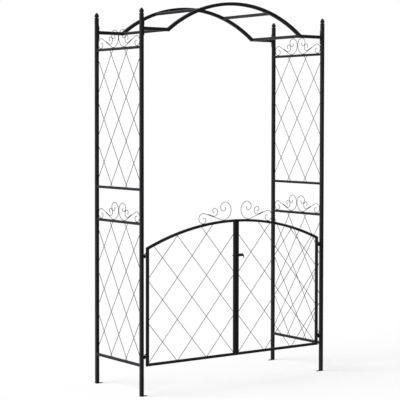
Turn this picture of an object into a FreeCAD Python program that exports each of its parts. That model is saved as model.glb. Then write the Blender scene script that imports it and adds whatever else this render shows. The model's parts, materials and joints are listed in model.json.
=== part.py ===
# Garden arch with a two-leaf gate, in millimetres.
# Frame: +X to the right, +Y to the rear, +Z up. The origin is on the ground, midway between the four posts.
# The gate hangs between the two front posts, at the low end of Y.
import FreeCAD
import Part
import Sketcher
import math
import os
import re

SIZES = [
    ("post_spacing_x", 1254, "post centre to post centre, left to right"),
    ("post_spacing_y", 441, "post centre to post centre, front to rear"),
    ("post_tube", 18, "outside of the square post tube"),
    ("post_wall", 1, "wall of the post tube"),
    ("joint_height", 1000, "height at which the lower and upper post halves meet"),
    ("upper_post_length", 1010, "length of an upper post half"),
    ("sleeve_length", 120, "inner sleeve that joins two post halves"),
    ("sleeve_wall", 1.5, "wall of the inner sleeve"),
    ("slip_gap", 0.2, "play between a post's inside and what slides into it"),
    ("foot_thickness", 2, "foot plate under each post"),
    ("foot_tab", 25, "how far a foot plate reaches past its post"),
    ("peg_hole", 7, "hole for a ground peg in a foot plate"),
    ("rail_tube", 14, "outside of the square rail tube of the side panels"),
    ("rail_wall", 1, "wall of the rail tube"),
    ("joint_rail_offset", 90, "rail centre to the joint between the post halves"),
    ("bottom_rail_height", 163, "centre of the lowest side rails above the ground"),
    ("top_rail_drop", 173, "centre of the highest side rails below the top of the posts"),
    ("lattice_wire", 3, "lattice wire, flat to flat"),
    ("side_columns", 6, "half diamonds across a side panel, post centre to post centre"),
    ("side_rows", 6, "half diamonds between the lowest and the highest crossing of a side panel"),
    ("side_inset", 17, "outermost crossings of a side panel to the face of the rail"),
    ("scroll_wire", 3, "scroll wire, flat to flat"),
    ("weld_gap", 0.1, "room for the weld between a wire and what it lies on"),
    ("bend_sag", 0.6, "how far the chords that make up a bend may lie inside it"),
    ("gate_scroll_curl", 56, "radius of the widest bend of a gate scroll"),
    ("side_scroll_slope", 26.6, "slope of the straight stretch of a side scroll, in degrees"),
    ("side_scroll_gap", 8, "outer end of a side scroll to the post"),
    ("side_branch_start", 31, "where the small scroll of a side panel leaves the straight stretch"),
    ("gate_scroll_slope", 21.8, "slope of the straight stretch of a gate scroll, in degrees"),
    ("gate_scroll_gap", 10, "inner end of a gate scroll to the meeting stile"),
    ("gate_branch_start", 64, "where the small scroll of a gate leaf leaves the straight stretch"),
    ("branch_tail", 34, "stretch over which a small scroll is welded along the large one"),
    ("arch_tube", 18, "outside of the square tube of the arches"),
    ("arch_wall", 1, "wall of the arch tube"),
    ("arch_bar_drop", 76, "centre of the arches' level end bars below the top of the posts"),
    ("arch_corner_x", 458, "corner between an end bar and the bow, from the middle"),
    ("arch_rise", 158, "bow centre line at its top, above the end bars"),
    ("cross_tube", 14, "outside of the square tube of the cross bars"),
    ("cross_wall", 1, "wall of the cross bars"),
    ("cross_bar_x", 241, "inner cross bars, from the middle"),
    ("end_plate_height", 75, "bolting plate at each end of an arch"),
    ("end_plate_thickness", 3, "thickness of the bolting plate"),
    ("arch_bolt_spacing", 50, "upper to lower bolt of a bolting plate"),
    ("arch_bolt", 6, "bolt shank"),
    ("bolt_head", 10, "bolt head across flats"),
    ("bolt_head_height", 4, "height of a bolt head"),
    ("bolt_length", 12, "bolt under its head"),
    ("bolt_play", 0.1, "shank to the wall of its hole"),
    ("nut_side", 10, "square weld nut behind the post's wall, across flats"),
    ("nut_thickness", 5, "thickness of the weld nut"),
    ("finial_height", 33, "finial above the top of its post"),
    ("finial_cup", 13.5, "radius of the finial's cup at its rim"),
    ("finial_cup_height", 12, "rim of the cup above the top of the post"),
    ("finial_bud", 10.4, "radius of the finial's bud"),
    ("finial_collar", 20, "square collar that caps the post"),
    ("finial_collar_height", 3.5, "height of the collar"),
    ("finial_plug", 15, "plug of the finial inside the post"),
    ("gate_tube", 14, "outside of the square tube of the gate leaves"),
    ("gate_wall", 1, "wall of the gate tube"),
    ("hinge_gap", 21, "post face to the hinge stile"),
    ("meeting_gap", 4, "gap between the two meeting stiles"),
    ("gate_bottom", 155.5, "underside of the gate leaves above the ground"),
    ("gate_side_height", 779, "centre line of the top rail at the hinge stile"),
    ("gate_centre_height", 902, "centre line of the top rails' arc in the middle of the gateway"),
    ("gate_columns", 6, "half diamonds across a leaf, stile centre to stile centre"),
    ("gate_row", 112.3, "height of half a diamond of the gate's lattice"),
    ("shortest_wire", 70, "a lattice wire that would be shorter is left out"),
    ("hinge_low", 206, "middle of the lower hinge eye above the ground"),
    ("hinge_high", 739, "middle of the upper hinge eye above the ground"),
    ("hinge_pin", 6, "rod of the hinge pins"),
    ("hinge_play", 0.05, "pin to the wall of its eye"),
    ("hinge_bend", 6, "bend radius of a hinge pin, on its centre line"),
    ("pin_tail", 4, "how far a hinge pin reaches below its eye"),
    ("eye_outside", 12, "outside of the hinge eye"),
    ("eye_height", 14, "height of the hinge eye"),
    ("eye_web", 6, "width of the web between eye and post"),
    ("eye_rest", 0.3, "eye to the bend of the pin above it"),
    ("latch_height", 710, "latch bolt above the ground"),
    ("latch_bolt_rod", 5, "rod of the latch bolt"),
    ("latch_play", 0.1, "latch bolt to the wall of its bores"),
    ("latch_barrel_outside", 16, "outside of the barrel that guides the latch bolt"),
    ("latch_barrel_length", 32, "length of the barrel"),
    ("latch_travel", 23, "travel of the latch bolt"),
    ("latch_tip", 1.5, "bolt tip inside the face of its own stile when it is drawn back"),
    ("latch_bend", 7, "bend radius of the latch bolt's handle, on its centre line"),
    ("latch_handle_reach", 7, "handle's centre line to the end of the barrel when the bolt is drawn back"),
    ("latch_handle_drop", 18, "lower end of the handle below the bolt's centre line"),
    ("latch_slot_play", 0.5, "handle to each side of the barrel's slot"),
    ("keeper_outside", 8, "outside of the keeper bush in the other leaf"),
    ("keeper_reach", 6, "keeper bush past the inner face of its stile"),
]

# Places that follow from the sizes, in the order in which they build on each other.
PLACES = [
    ("post_x", "post_spacing_x / 2"),
    ("post_y", "post_spacing_y / 2"),
    ("post_face_x", "post_x - post_tube / 2"),
    ("post_face_y", "post_y - post_tube / 2"),
    ("post_top", "joint_height + upper_post_length"),
    ("low_panel_top", "joint_height - joint_rail_offset"),
    ("low_panel_height", "low_panel_top - bottom_rail_height"),
    ("high_panel_bottom", "joint_height + joint_rail_offset"),
    ("high_panel_top", "post_top - top_rail_drop"),
    ("high_panel_height", "high_panel_top - high_panel_bottom"),
    ("arch_bar_height", "post_top - arch_bar_drop"),
    ("plug_side", "post_tube - 2 * post_wall - 2 * slip_gap"),
    ("arch_radius", "(arch_corner_x^2 + arch_rise^2) / (2 * arch_rise)"),
    ("arch_centre", "arch_bar_height + arch_rise - arch_radius"),
    ("arch_slope", "asin(arch_corner_x / arch_radius) / 1deg"),
    ("arch_overrun", "2 * arch_tube / arch_radius * 180 / pi"),
    ("cross_slope", "asin(cross_bar_x / arch_radius) / 1deg"),
    ("cross_height", "arch_centre + sqrt(arch_radius^2 - cross_bar_x^2)"),
    ("plate_face_x", "post_face_x - end_plate_thickness"),
    ("hinge_x", "post_face_x - hinge_gap / 2"),
    ("hinge_stile_x", "post_face_x - hinge_gap - gate_tube / 2"),
    ("meeting_stile_x", "meeting_gap / 2 + gate_tube / 2"),
    ("meeting_inner_x", "meeting_gap / 2 + gate_tube"),
    ("gate_low", "gate_bottom + gate_tube / 2"),
    ("gate_arc_rise", "gate_centre_height - gate_side_height"),
    ("gate_radius", "(hinge_stile_x^2 + gate_arc_rise^2) / (2 * gate_arc_rise)"),
    ("gate_arc_centre", "gate_centre_height - gate_radius"),
    ("gate_slope", "asin(hinge_stile_x / gate_radius) / 1deg"),
    ("meeting_slope", "asin(meeting_stile_x / gate_radius) / 1deg"),
    ("gate_overrun", "2 * gate_tube / gate_radius * 180 / pi"),
    ("meeting_top", "gate_arc_centre + sqrt(gate_radius^2 - meeting_stile_x^2)"),
    ("barrel_end_x", "meeting_inner_x + latch_barrel_length"),
    ("latch_bend_x", "barrel_end_x + latch_handle_reach - latch_bend"),
]

# Bends of the wire scrolls, from the foot of the scroll: the radius as a share of the widest one, and degrees.
LARGE_CURL = [(1, 80), (0.8, 80), (0.57, 80), (0.4, 80), (0.295, 80), (0.215, 80)]
FOOT_BEND = 0.54
END_CURL = [(0.54, 85), (0.5, 75), (0.445, 75), (0.3, 75), (0.2, 75), (0.215, 40)]
BENDS_BEFORE_REST_COUNT = 2
SMALL_CURL = [(0.41, 117), (0.36, 90), (0.215, 90), (0.225, 75)]

# How many flats stand for the round of a section.
SCROLL_FACE_COUNT = 4
LATTICE_FACE_COUNT = 6
BOLT_FACE_COUNT = 8
ROD_FACE_COUNT = 12

doc = FreeCAD.newDocument("garden_arch")
OWNER = {}
nodes = {}
Vector = FreeCAD.Vector


def spelled(expression):
    """Put the name of the object that holds a size or a place before each of them."""
    return re.sub(r"[a-z][a-z0-9_]*", lambda word: OWNER.get(word.group(0), "") + word.group(0), expression)


def bind(target, prop, expression):
    """Tie a property to the sheet."""
    target.setExpression(prop, spelled(expression))


def make_sheet():
    """The driving dimensions, one cell each."""
    sheet = doc.addObject("Spreadsheet::Sheet", "Sizes")
    for row, (alias, number, meaning) in enumerate(SIZES, start=1):
        sheet.set(f"A{row}", meaning)
        sheet.set(f"B{row}", str(number))
        sheet.setAlias(f"B{row}", alias)
        OWNER[alias] = "Sizes."
    doc.recompute()
    return sheet


def make_places():
    """The places that follow from the sheet."""
    places = doc.addObject("App::VarSet", "Places")
    for name, expression in PLACES:
        places.addProperty("App::PropertyFloat", name, "Places")
        bind(places, name, expression)
        OWNER[name] = "Places."
    doc.recompute()
    return places


sizes = make_sheet()
places = make_places()


def put(item, x="0", y="0", z="0"):
    """Tie the position of an object to the sheet."""
    bind(item, "Placement.Base.x", x)
    bind(item, "Placement.Base.y", y)
    bind(item, "Placement.Base.z", z)
    return item


def make(kind, name, **bound):
    """A Part primitive whose properties follow the sheet."""
    item = doc.addObject(kind, name)
    for prop, expression in bound.items():
        bind(item, prop, expression)
    return item


def keep(label, item):
    """Name a finished sub-part, which is then written out."""
    item.Label = label
    nodes[label] = item
    return item


def make_body(name):
    """An empty body."""
    return doc.addObject("PartDesign::Body", name)


def origin_item(body, role):
    """One of a body's own origin planes or axes."""
    return next(item for item in body.Origin.OriginFeatures if item.Role == role)


def sketch_on(body, plane):
    """A sketch on one of the body's origin planes."""
    sketch = body.newObject("Sketcher::SketchObject", body.Name + "_sketch")
    sketch.AttachmentSupport = [(origin_item(body, plane), "")]
    sketch.MapMode = "FlatFace"
    return sketch


def pin_down(sketch, kind, edge, point, expression):
    """Fix one coordinate of a point of a sketch by an expression."""
    index = sketch.addConstraint(Sketcher.Constraint(kind, -1, 1, edge, point, 1.0))
    sketch.setExpression(f"Constraints[{index}]", spelled(expression))


def add_outline(sketch, corners):
    """A closed outline of straight edges, each corner an expression for both coordinates."""
    first = len(sketch.Geometry)
    count = len(corners)
    for step in range(count):
        turn = 2 * math.pi * step / count
        onward = 2 * math.pi * (step + 1) / count
        start = Vector(10 * math.cos(turn), 10 * math.sin(turn), 0)
        end = Vector(10 * math.cos(onward), 10 * math.sin(onward), 0)
        sketch.addGeometry(Part.LineSegment(start, end))
    for step in range(count):
        sketch.addConstraint(Sketcher.Constraint("Coincident", first + step, 2, first + (step + 1) % count, 1))
    for step, (across, up) in enumerate(corners):
        pin_down(sketch, "DistanceX", first + step, 1, across)
        pin_down(sketch, "DistanceY", first + step, 1, up)


def add_square(sketch, side, middle="0"):
    """A square, centred across the sketch and at a height in it."""
    half = f"({side}) / 2"
    add_outline(sketch, [
        (f"-{half}", f"{middle} - {half}"),
        (half, f"{middle} - {half}"),
        (half, f"{middle} + {half}"),
        (f"-{half}", f"{middle} + {half}"),
    ])


def outside(flats):
    """How much further out the corners of a many-sided round lie than its flats."""
    return round(1 / math.cos(math.pi / flats), 6)


def add_rod_section(sketch, radius, flats, across="0", up="0"):
    """The section of a rod, with its corners on the true round."""
    corners = []
    for step in range(flats):
        turn = 2 * math.pi * step / flats
        corners.append((
            f"{across} + ({radius}) * {round(math.cos(turn), 6)}",
            f"{up} + ({radius}) * {round(math.sin(turn), 6)}",
        ))
    add_outline(sketch, corners)


def add_rod_hole(sketch, radius, flats, across="0", up="0"):
    """The section of a hole for a rod, with its flats on the true round."""
    add_rod_section(sketch, f"({radius}) * {outside(flats)}", flats, across, up)


def add_circle(sketch, radius, across="0", up="0"):
    """A circle whose middle and radius follow the sheet."""
    edge = sketch.addGeometry(Part.Circle(Vector(0, 0, 0), Vector(0, 0, 1), 1))
    index = sketch.addConstraint(Sketcher.Constraint("Radius", edge, 1.0))
    sketch.setExpression(f"Constraints[{index}]", spelled(radius))
    pin_down(sketch, "DistanceX", edge, 3, across)
    pin_down(sketch, "DistanceY", edge, 3, up)


def add_tube_section(sketch, side, wall, middle="0"):
    """The section of a square tube."""
    add_square(sketch, side, middle)
    add_square(sketch, f"{side} - 2 * {wall}", middle)


def add_pad(body, sketch, length, both_ways=False, backwards=False):
    """Pad a sketch."""
    pad = body.newObject("PartDesign::Pad", body.Name + "_pad")
    pad.Profile = sketch
    pad.Midplane = both_ways
    pad.Reversed = backwards
    bind(pad, "Length", length)
    sketch.Visibility = False
    body.Tip = pad
    return pad


def cut_pocket(body, sketch, both_ways=False, backwards=False):
    """Cut a sketch right through what lies on one side of it, or on both, and make sure that it cut."""
    doc.recompute()
    before = body.Shape.Volume
    pocket = body.newObject("PartDesign::Pocket", body.Name + "_pocket")
    pocket.Profile = sketch
    pocket.Type = "ThroughAll"
    pocket.Midplane = both_ways
    pocket.Reversed = backwards
    sketch.Visibility = False
    body.Tip = pocket
    doc.recompute()
    if body.Shape.Volume > before - 1:
        raise RuntimeError(f"{body.Name}: the pocket cut nothing")


def tube(name, plane, side, wall, length, both_ways=False):
    """A straight square tube, square at both ends, standing on one of its body's planes."""
    body = make_body(name)
    sketch = sketch_on(body, plane)
    add_tube_section(sketch, side, wall)
    add_pad(body, sketch, length, both_ways)
    return body


def mirrored(item, name, across):
    """The mirror image of an object across the middle of the arch."""
    image = doc.addObject("Part::Mirroring", name)
    image.Source = item
    image.Base = Vector(0, 0, 0)
    image.Normal = Vector(1, 0, 0) if across == "x" else Vector(0, 1, 0)
    return image


def four_corners(item, name):
    """The object at the front right corner and its images at the other three."""
    front_left = mirrored(item, name + "_front_left", "x")
    rear_right = mirrored(item, name + "_rear_right", "y")
    rear_left = mirrored(front_left, name + "_rear_left", "y")
    return {"front_right": item, "front_left": front_left, "rear_right": rear_right, "rear_left": rear_left}


def group(label, items):
    """Identical pieces that share one node, each still a solid of its own."""
    bundle = doc.addObject("Part::Compound", label + "_group")
    bundle.Links = list(items)
    return keep(label, bundle)


def cut_away(item, tools, name):
    """Cut one or more tools from an object."""
    for number, tool in enumerate(tools):
        cut = doc.addObject("Part::Cut", f"{name}_cut_{number}")
        cut.Base = item
        cut.Tool = tool
        item = cut
    return item


def mitre_block(name, tube_side, x, z, angle, ahead):
    """A block whose face is a mitre plane through x and z, leaning by an angle from upright.

    It takes away what lies ahead of that plane, on the side of its normal, or what lies behind it.
    """
    block = make(
        "Part::Box", name, Length=f"4 * {tube_side}", Width=f"2 * {tube_side}", Height=f"8 * {tube_side}")
    block.Placement.Rotation = FreeCAD.Rotation(Vector(0, 1, 0), 1)
    bind(block, "Placement.Rotation.Angle", f"({angle}) * 1deg")
    back = "0" if ahead else "1"
    put(
        block,
        f"{x} - 4 * {tube_side} * (sin({angle}) + {back} * cos({angle}))",
        f"-post_y - {tube_side}",
        f"{z} - 4 * {tube_side} * (cos({angle}) - {back} * sin({angle}))",
    )
    return block


def make_posts():
    """Posts in two halves, with the inner sleeves that join them and the foot plates below them."""
    lower = put(
        tube("lower_post", "XY_Plane", "post_tube", "post_wall", "joint_height - foot_thickness"),
        "post_x", "-post_y", "foot_thickness")
    for corner, item in four_corners(lower, "lower_post").items():
        keep(corner + "_lower_post", item)

    upper = tube("upper_post", "XY_Plane", "post_tube", "post_wall", "upper_post_length")
    holes = sketch_on(upper, "YZ_Plane")
    for step in ("-1", "1"):
        height = f"arch_bar_height + {step} * arch_bolt_spacing / 2 - joint_height"
        add_rod_hole(holes, "arch_bolt / 2 + bolt_play", BOLT_FACE_COUNT, "0", height)
    cut_pocket(upper, holes)
    put(upper, "post_x", "-post_y", "joint_height")
    for corner, item in four_corners(upper, "upper_post").items():
        keep(corner + "_upper_post", item)

    sleeve = put(
        tube("joint_sleeve", "XY_Plane", "plug_side", "sleeve_wall", "sleeve_length", both_ways=True),
        "post_x", "-post_y", "joint_height")
    group("joint_sleeves", four_corners(sleeve, "joint_sleeve").values())


def make_foot_plates():
    """A plate under each post, whose tab takes a ground peg on the inner side."""
    plate = make_body("foot_plate")
    outline = sketch_on(plate, "XY_Plane")
    add_outline(outline, [
        ("post_tube / 2", "-post_tube / 2"),
        ("post_tube / 2", "post_tube / 2"),
        ("-post_tube / 2 - foot_tab + post_tube / 4", "post_tube / 2"),
        ("-post_tube / 2 - foot_tab", "post_tube / 4"),
        ("-post_tube / 2 - foot_tab", "-post_tube / 4"),
        ("-post_tube / 2 - foot_tab + post_tube / 4", "-post_tube / 2"),
    ])
    add_circle(outline, "peg_hole / 2", "-post_tube / 2 - foot_tab / 2")
    add_pad(plate, outline, "foot_thickness")
    put(plate, "post_x", "-post_y", "0")
    group("foot_plates", four_corners(plate, "foot_plate").values())


def make_finials():
    """An eight-sided bud in a flared cup on a square collar, with a plug that sits in the top of the post."""
    rings = [
        ("0.62 * finial_cup", "0"),
        ("0.6 * finial_cup", "0.4 * finial_cup_height"),
        ("0.82 * finial_cup", "0.62 * finial_cup_height"),
        ("finial_cup", "0.9 * finial_cup_height"),
        ("0.92 * finial_cup", "finial_cup_height"),
        ("0.92 * finial_bud", "0.88 * finial_cup_height"),
    ]
    steps = 4
    for step in range(steps + 1):
        share = step / steps
        around = max(math.cos(share * math.pi / 2) ** 0.65, 0.07)
        rings.append((
            f"finial_bud * {round(around, 3)}",
            f"finial_cup_height + (finial_height - finial_cup_height) * {round(share ** 0.9, 3)}",
        ))
    sections = []
    for number, (radius, height) in enumerate(rings):
        ring = doc.addObject("Part::RegularPolygon", f"finial_ring_{number}")
        ring.Polygon = BOLT_FACE_COUNT
        bind(ring, "Circumradius", radius)
        sections.append(put(ring, z=height))
    turned_part = doc.addObject("Part::Loft", "finial_bud")
    turned_part.Sections = sections
    turned_part.Solid = True
    turned_part.Ruled = True
    collar = make("Part::Box", "finial_collar", Length="finial_collar", Width="finial_collar",
                  Height="finial_collar_height")
    put(collar, "-finial_collar / 2", "-finial_collar / 2", "0")
    plug = make("Part::Box", "finial_plug", Length="plug_side", Width="plug_side", Height="finial_plug")
    put(plug, "-plug_side / 2", "-plug_side / 2", "-finial_plug")
    finial = doc.addObject("Part::MultiFuse", "finial")
    finial.Shapes = [turned_part, collar, plug]
    put(finial, "post_x", "-post_y", "post_top")
    group("finials", four_corners(finial, "finial").values())


def make_side_rails():
    """Two rails on each half of each side, welded between the front and the rear post."""
    heights = {
        "lower_bottom_rail": "bottom_rail_height",
        "lower_top_rail": "low_panel_top",
        "upper_bottom_rail": "high_panel_bottom",
        "upper_top_rail": "high_panel_top",
    }
    for name, height in heights.items():
        rail = tube("right_" + name, "XZ_Plane", "rail_tube", "rail_wall", "2 * post_face_y", both_ways=True)
        put(rail, "post_x", "0", height)
        keep("right_" + name, rail)
        keep("left_" + name, mirrored(rail, "left_" + name, "x"))


def make_arches():
    """A bow and two end bars at the front and at the rear, mitred, with the cross bars between them."""
    bow = make_body("arch_bow")
    section = sketch_on(bow, "YZ_Plane")
    add_tube_section(section, "arch_tube", "arch_wall", "arch_radius")
    turned = bow.newObject("PartDesign::Revolution", "arch_bow_turned")
    turned.Profile = section
    turned.ReferenceAxis = (origin_item(bow, "Y_Axis"), [""])
    turned.Midplane = True
    bind(turned, "Angle", "2 * (arch_slope + arch_overrun)")
    put(bow, "0", "-post_y", "arch_centre")
    corner = ("arch_corner_x", "arch_bar_height", "arch_slope / 2")
    right_block = mitre_block("bow_mitre", "arch_tube", *corner, ahead=True)
    left_block = mirrored(right_block, "bow_mitre_left", "x")
    front_bow = keep("front_arch_bow", cut_away(bow, [right_block, left_block], "arch_bow"))
    keep("rear_arch_bow", mirrored(front_bow, "rear_arch_bow", "y"))

    length = "plate_face_x - arch_corner_x + 2 * arch_tube"
    bar = tube("arch_end_bar", "YZ_Plane", "arch_tube", "arch_wall", length)
    put(bar, "arch_corner_x - 2 * arch_tube", "-post_y", "arch_bar_height")
    block = mitre_block("bar_mitre", "arch_tube", *corner, ahead=False)
    bar = cut_away(bar, [block], "arch_end_bar")
    for place, item in four_corners(bar, "arch_end_bar").items():
        keep(place + "_arch_bar", item)

    spots = {
        "outer_cross_bar": ("arch_corner_x", "arch_bar_height", "arch_slope / 2"),
        "inner_cross_bar": ("cross_bar_x", "cross_height", "cross_slope"),
    }
    for name, (x, z, lean) in spots.items():
        cross = tube("right_" + name, "XZ_Plane", "cross_tube", "cross_wall",
                     "post_spacing_y - arch_tube", both_ways=True)
        put(cross, x, "0", z)
        cross.Placement.Rotation = FreeCAD.Rotation(Vector(0, 1, 0), 1)
        bind(cross, "Placement.Rotation.Angle", f"{lean} * 1deg")
        keep("right_" + name, cross)
        keep("left_" + name, mirrored(cross, "left_" + name, "x"))


def make_arch_fixings():
    """Plates on the ends of the arches, bolted to square nuts that are welded inside the posts."""
    plate = make_body("end_plate")
    face = sketch_on(plate, "YZ_Plane")
    add_outline(face, [
        ("-arch_tube / 2", "-end_plate_height / 2"),
        ("arch_tube / 2", "-end_plate_height / 2"),
        ("arch_tube / 2", "end_plate_height / 2"),
        ("-arch_tube / 2", "end_plate_height / 2"),
    ])
    for step in ("-1", "1"):
        add_rod_hole(face, "arch_bolt / 2 + bolt_play", BOLT_FACE_COUNT, "0", f"{step} * arch_bolt_spacing / 2")
    add_pad(plate, face, "end_plate_thickness")
    put(plate, "plate_face_x", "-post_y", "arch_bar_height")
    group("arch_end_plates", four_corners(plate, "end_plate").values())

    bolts = []
    nuts = []
    for name, step in (("low", "-1"), ("high", "1")):
        height = f"arch_bar_height + {step} * arch_bolt_spacing / 2"
        bolt = make_body("arch_bolt_" + name)
        head = sketch_on(bolt, "YZ_Plane")
        add_rod_section(head, "bolt_head / sqrt(3)", 6)
        add_pad(bolt, head, "bolt_head_height", backwards=True)
        shank = sketch_on(bolt, "YZ_Plane")
        add_rod_section(shank, "arch_bolt / 2", BOLT_FACE_COUNT)
        add_pad(bolt, shank, "bolt_length")
        put(bolt, "plate_face_x", "-post_y", height)
        bolts += four_corners(bolt, "arch_bolt_" + name).values()

        nut = make_body("weld_nut_" + name)
        face = sketch_on(nut, "YZ_Plane")
        add_square(face, "nut_side")
        add_rod_hole(face, "arch_bolt / 2 + bolt_play", BOLT_FACE_COUNT)
        add_pad(nut, face, "nut_thickness")
        put(nut, "post_face_x + post_wall", "-post_y", height)
        nuts += four_corners(nut, "weld_nut_" + name).values()
    group("arch_bolts", bolts)
    group("weld_nuts", nuts)


def leaf_corner(name):
    """Where two tubes of a gate leaf meet, and how far the mitre between them leans from upright."""
    return {
        "hinge_top": ("hinge_stile_x", "gate_side_height", "45 + gate_slope / 2"),
        "meeting_top": ("meeting_stile_x", "meeting_top", "-45 + meeting_slope / 2"),
        "hinge_bottom": ("hinge_stile_x", "gate_low", "-45"),
        "meeting_bottom": ("meeting_stile_x", "gate_low", "45"),
    }[name]


def mitred(item, name, ends):
    """Cut an object at leaf corners, each with the side of the mitre that goes."""
    tools = []
    for corner, ahead in ends:
        tools.append(mitre_block(f"{name}_{corner}", "gate_tube", *leaf_corner(corner), ahead))
    return cut_away(item, tools, name)


def make_leaf_frames():
    """Two stiles, a bottom rail and an arched top rail for each leaf, mitred at all four corners."""
    over = "2 * gate_tube"
    pieces = {}
    stiles = {
        "hinge_stile": ("hinge_stile_x", "gate_side_height", [("hinge_top", False), ("hinge_bottom", False)]),
        "meeting_stile": ("meeting_stile_x", "meeting_top", [("meeting_top", True), ("meeting_bottom", True)]),
    }
    for name, (x, top, ends) in stiles.items():
        stile = tube(name, "XY_Plane", "gate_tube", "gate_wall", f"{top} - gate_low + 2 * {over}")
        put(stile, x, "-post_y", f"gate_low - {over}")
        pieces[name] = mitred(stile, name, ends)

    bottom = tube("bottom_rail", "YZ_Plane", "gate_tube", "gate_wall",
                  f"hinge_stile_x - meeting_stile_x + 2 * {over}")
    put(bottom, f"meeting_stile_x - {over}", "-post_y", "gate_low")
    pieces["bottom_rail"] = mitred(bottom, "bottom_rail", [("hinge_bottom", True), ("meeting_bottom", False)])

    top = make_body("top_rail")
    section = sketch_on(top, "YZ_Plane")
    add_tube_section(section, "gate_tube", "gate_wall", "gate_radius")
    turned = top.newObject("PartDesign::Revolution", "top_rail_turned")
    turned.Profile = section
    turned.ReferenceAxis = (origin_item(top, "Y_Axis"), [""])
    turned.Midplane = False
    bind(turned, "Angle", "gate_slope - meeting_slope + 2 * gate_overrun")
    top.Placement.Rotation = FreeCAD.Rotation(Vector(0, 1, 0), 1)
    bind(top, "Placement.Rotation.Angle", "(meeting_slope - gate_overrun) * 1deg")
    put(top, "0", "-post_y", "gate_arc_centre")
    pieces["top_rail"] = mitred(top, "top_rail", [("hinge_top", True), ("meeting_top", False)])
    return pieces


def rod_along_x(name, radius, start, length, drill=False):
    """A rod along X at the height of the latch, or a drill for one."""
    around = f"({radius}) * {outside(ROD_FACE_COUNT) if drill else 1}"
    rod = make("Part::Prism", name, Circumradius=around, Height=length)
    rod.Polygon = ROD_FACE_COUNT
    rod.Placement.Rotation = FreeCAD.Rotation(Vector(0, 1, 0), 90)
    return put(rod, start, "-post_y", "latch_height")


def make_leaves():
    """Both leaves: the right one and its mirror image, with the latch bores in their meeting stiles."""
    pieces = make_leaf_frames()
    for name in ("hinge_stile", "bottom_rail", "top_rail"):
        keep("right_leaf_" + name, pieces[name])
        keep("left_leaf_" + name, mirrored(pieces[name], "left_leaf_" + name, "x"))
    stile = pieces["meeting_stile"]
    drill = rod_along_x("bolt_drill", "latch_bolt_rod / 2 + latch_play", "0", "3 * gate_tube", drill=True)
    keep("right_leaf_meeting_stile", cut_away(stile, [drill], "right_meeting"))
    drill = rod_along_x("keeper_drill", "keeper_outside / 2", "-3 * gate_tube", "3 * gate_tube")
    left = mirrored(stile, "left_meeting", "x")
    keep("left_leaf_meeting_stile", cut_away(left, [drill], "left_meeting"))


def make_hinges():
    """Eyes welded to the front posts, and the bent pins of the leaves that hang in them."""
    eyes = []
    pins = []
    for name, height in (("low", "hinge_low"), ("high", "hinge_high")):
        eye = make_body("hinge_eye_" + name)
        ring = sketch_on(eye, "XY_Plane")
        add_rod_section(ring, "eye_outside / 2", ROD_FACE_COUNT)
        add_pad(eye, ring, "eye_height", both_ways=True)
        web = sketch_on(eye, "XY_Plane")
        add_outline(web, [
            ("0", "-eye_web / 2"),
            ("hinge_gap / 2", "-eye_web / 2"),
            ("hinge_gap / 2", "eye_web / 2"),
            ("0", "eye_web / 2"),
        ])
        add_pad(eye, web, "eye_height", both_ways=True)
        bore = sketch_on(eye, "XY_Plane")
        add_rod_hole(bore, "hinge_pin / 2 + hinge_play", ROD_FACE_COUNT)
        cut_pocket(eye, bore, both_ways=True)
        eyes.append(put(eye, "hinge_x", "-post_y", height))

        bend = sizes.hinge_bend
        to_stile = sizes.hinge_gap / 2
        top = sizes.eye_height / 2 + sizes.eye_rest
        foot = -sizes.eye_height / 2 - sizes.pin_tail
        moves = [(to_stile - bend, 0), (bend, -90), (top - foot, 0)]
        pin = doc.addObject("Part::Feature", "hinge_pin_" + name)
        path = bends(Vector(-to_stile, 0, top + bend), 0, moves)
        pin.Shape = swept(path, sizes.hinge_pin / 2, ROD_FACE_COUNT)
        pins.append(put(pin, "hinge_x", "-post_y", height))
    group("right_hinge_eyes", eyes)
    group("left_hinge_eyes", [mirrored(item, item.Name + "_left", "x") for item in eyes])
    group("right_hinge_pins", pins)
    group("left_hinge_pins", [mirrored(item, item.Name + "_left", "x") for item in pins])


def make_latch():
    """A slotted barrel on the right leaf, the bolt that slides in it and the keeper bush of the left leaf."""
    barrel = rod_along_x("barrel_rod", "latch_barrel_outside / 2", "meeting_inner_x", "latch_barrel_length")
    bore = rod_along_x("barrel_bore", "latch_bolt_rod / 2 + latch_play", "0", "2 * barrel_end_x", drill=True)
    slot_start = "latch_bend_x - latch_travel - 1"
    slot = make(
        "Part::Box", "barrel_slot",
        Length=f"barrel_end_x - ({slot_start}) + 1",
        Width="latch_bolt_rod + 2 * latch_slot_play",
        Height="latch_barrel_outside",
    )
    slot_side = "-post_y - latch_bolt_rod / 2 - latch_slot_play"
    put(slot, slot_start, slot_side, "latch_height - latch_barrel_outside")
    keep("latch_barrel", cut_away(barrel, [bore, slot], "latch_barrel"))

    bush_start = "-meeting_inner_x - keeper_reach"
    bush = rod_along_x("keeper_rod", "keeper_outside / 2", bush_start, "gate_tube + keeper_reach")
    bore = rod_along_x("keeper_bore", "latch_bolt_rod / 2 + latch_play", "-3 * gate_tube", "3 * gate_tube",
                       drill=True)
    keep("latch_keeper", cut_away(bush, [bore], "latch_keeper"))

    tip = sizes.meeting_gap / 2 + sizes.latch_tip
    straight = places.latch_bend_x - tip
    drop = sizes.latch_handle_drop - sizes.latch_bend
    bolt = doc.addObject("Part::Feature", "latch_bolt_rod")
    path = bends(Vector(tip, 0, 0), 0, [(straight, 0), (sizes.latch_bend, -90), (drop, 0)])
    bolt.Shape = swept(path, sizes.latch_bolt_rod / 2, ROD_FACE_COUNT)
    keep("latch_bolt", put(bolt, "0", "-post_y", "latch_height"))


def turned(arm, degrees):
    """A vector of the XZ plane, turned to the left."""
    angle = math.radians(degrees)
    return Vector(
        arm.x * math.cos(angle) - arm.z * math.sin(angle), 0, arm.x * math.sin(angle) + arm.z * math.cos(angle))


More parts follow.
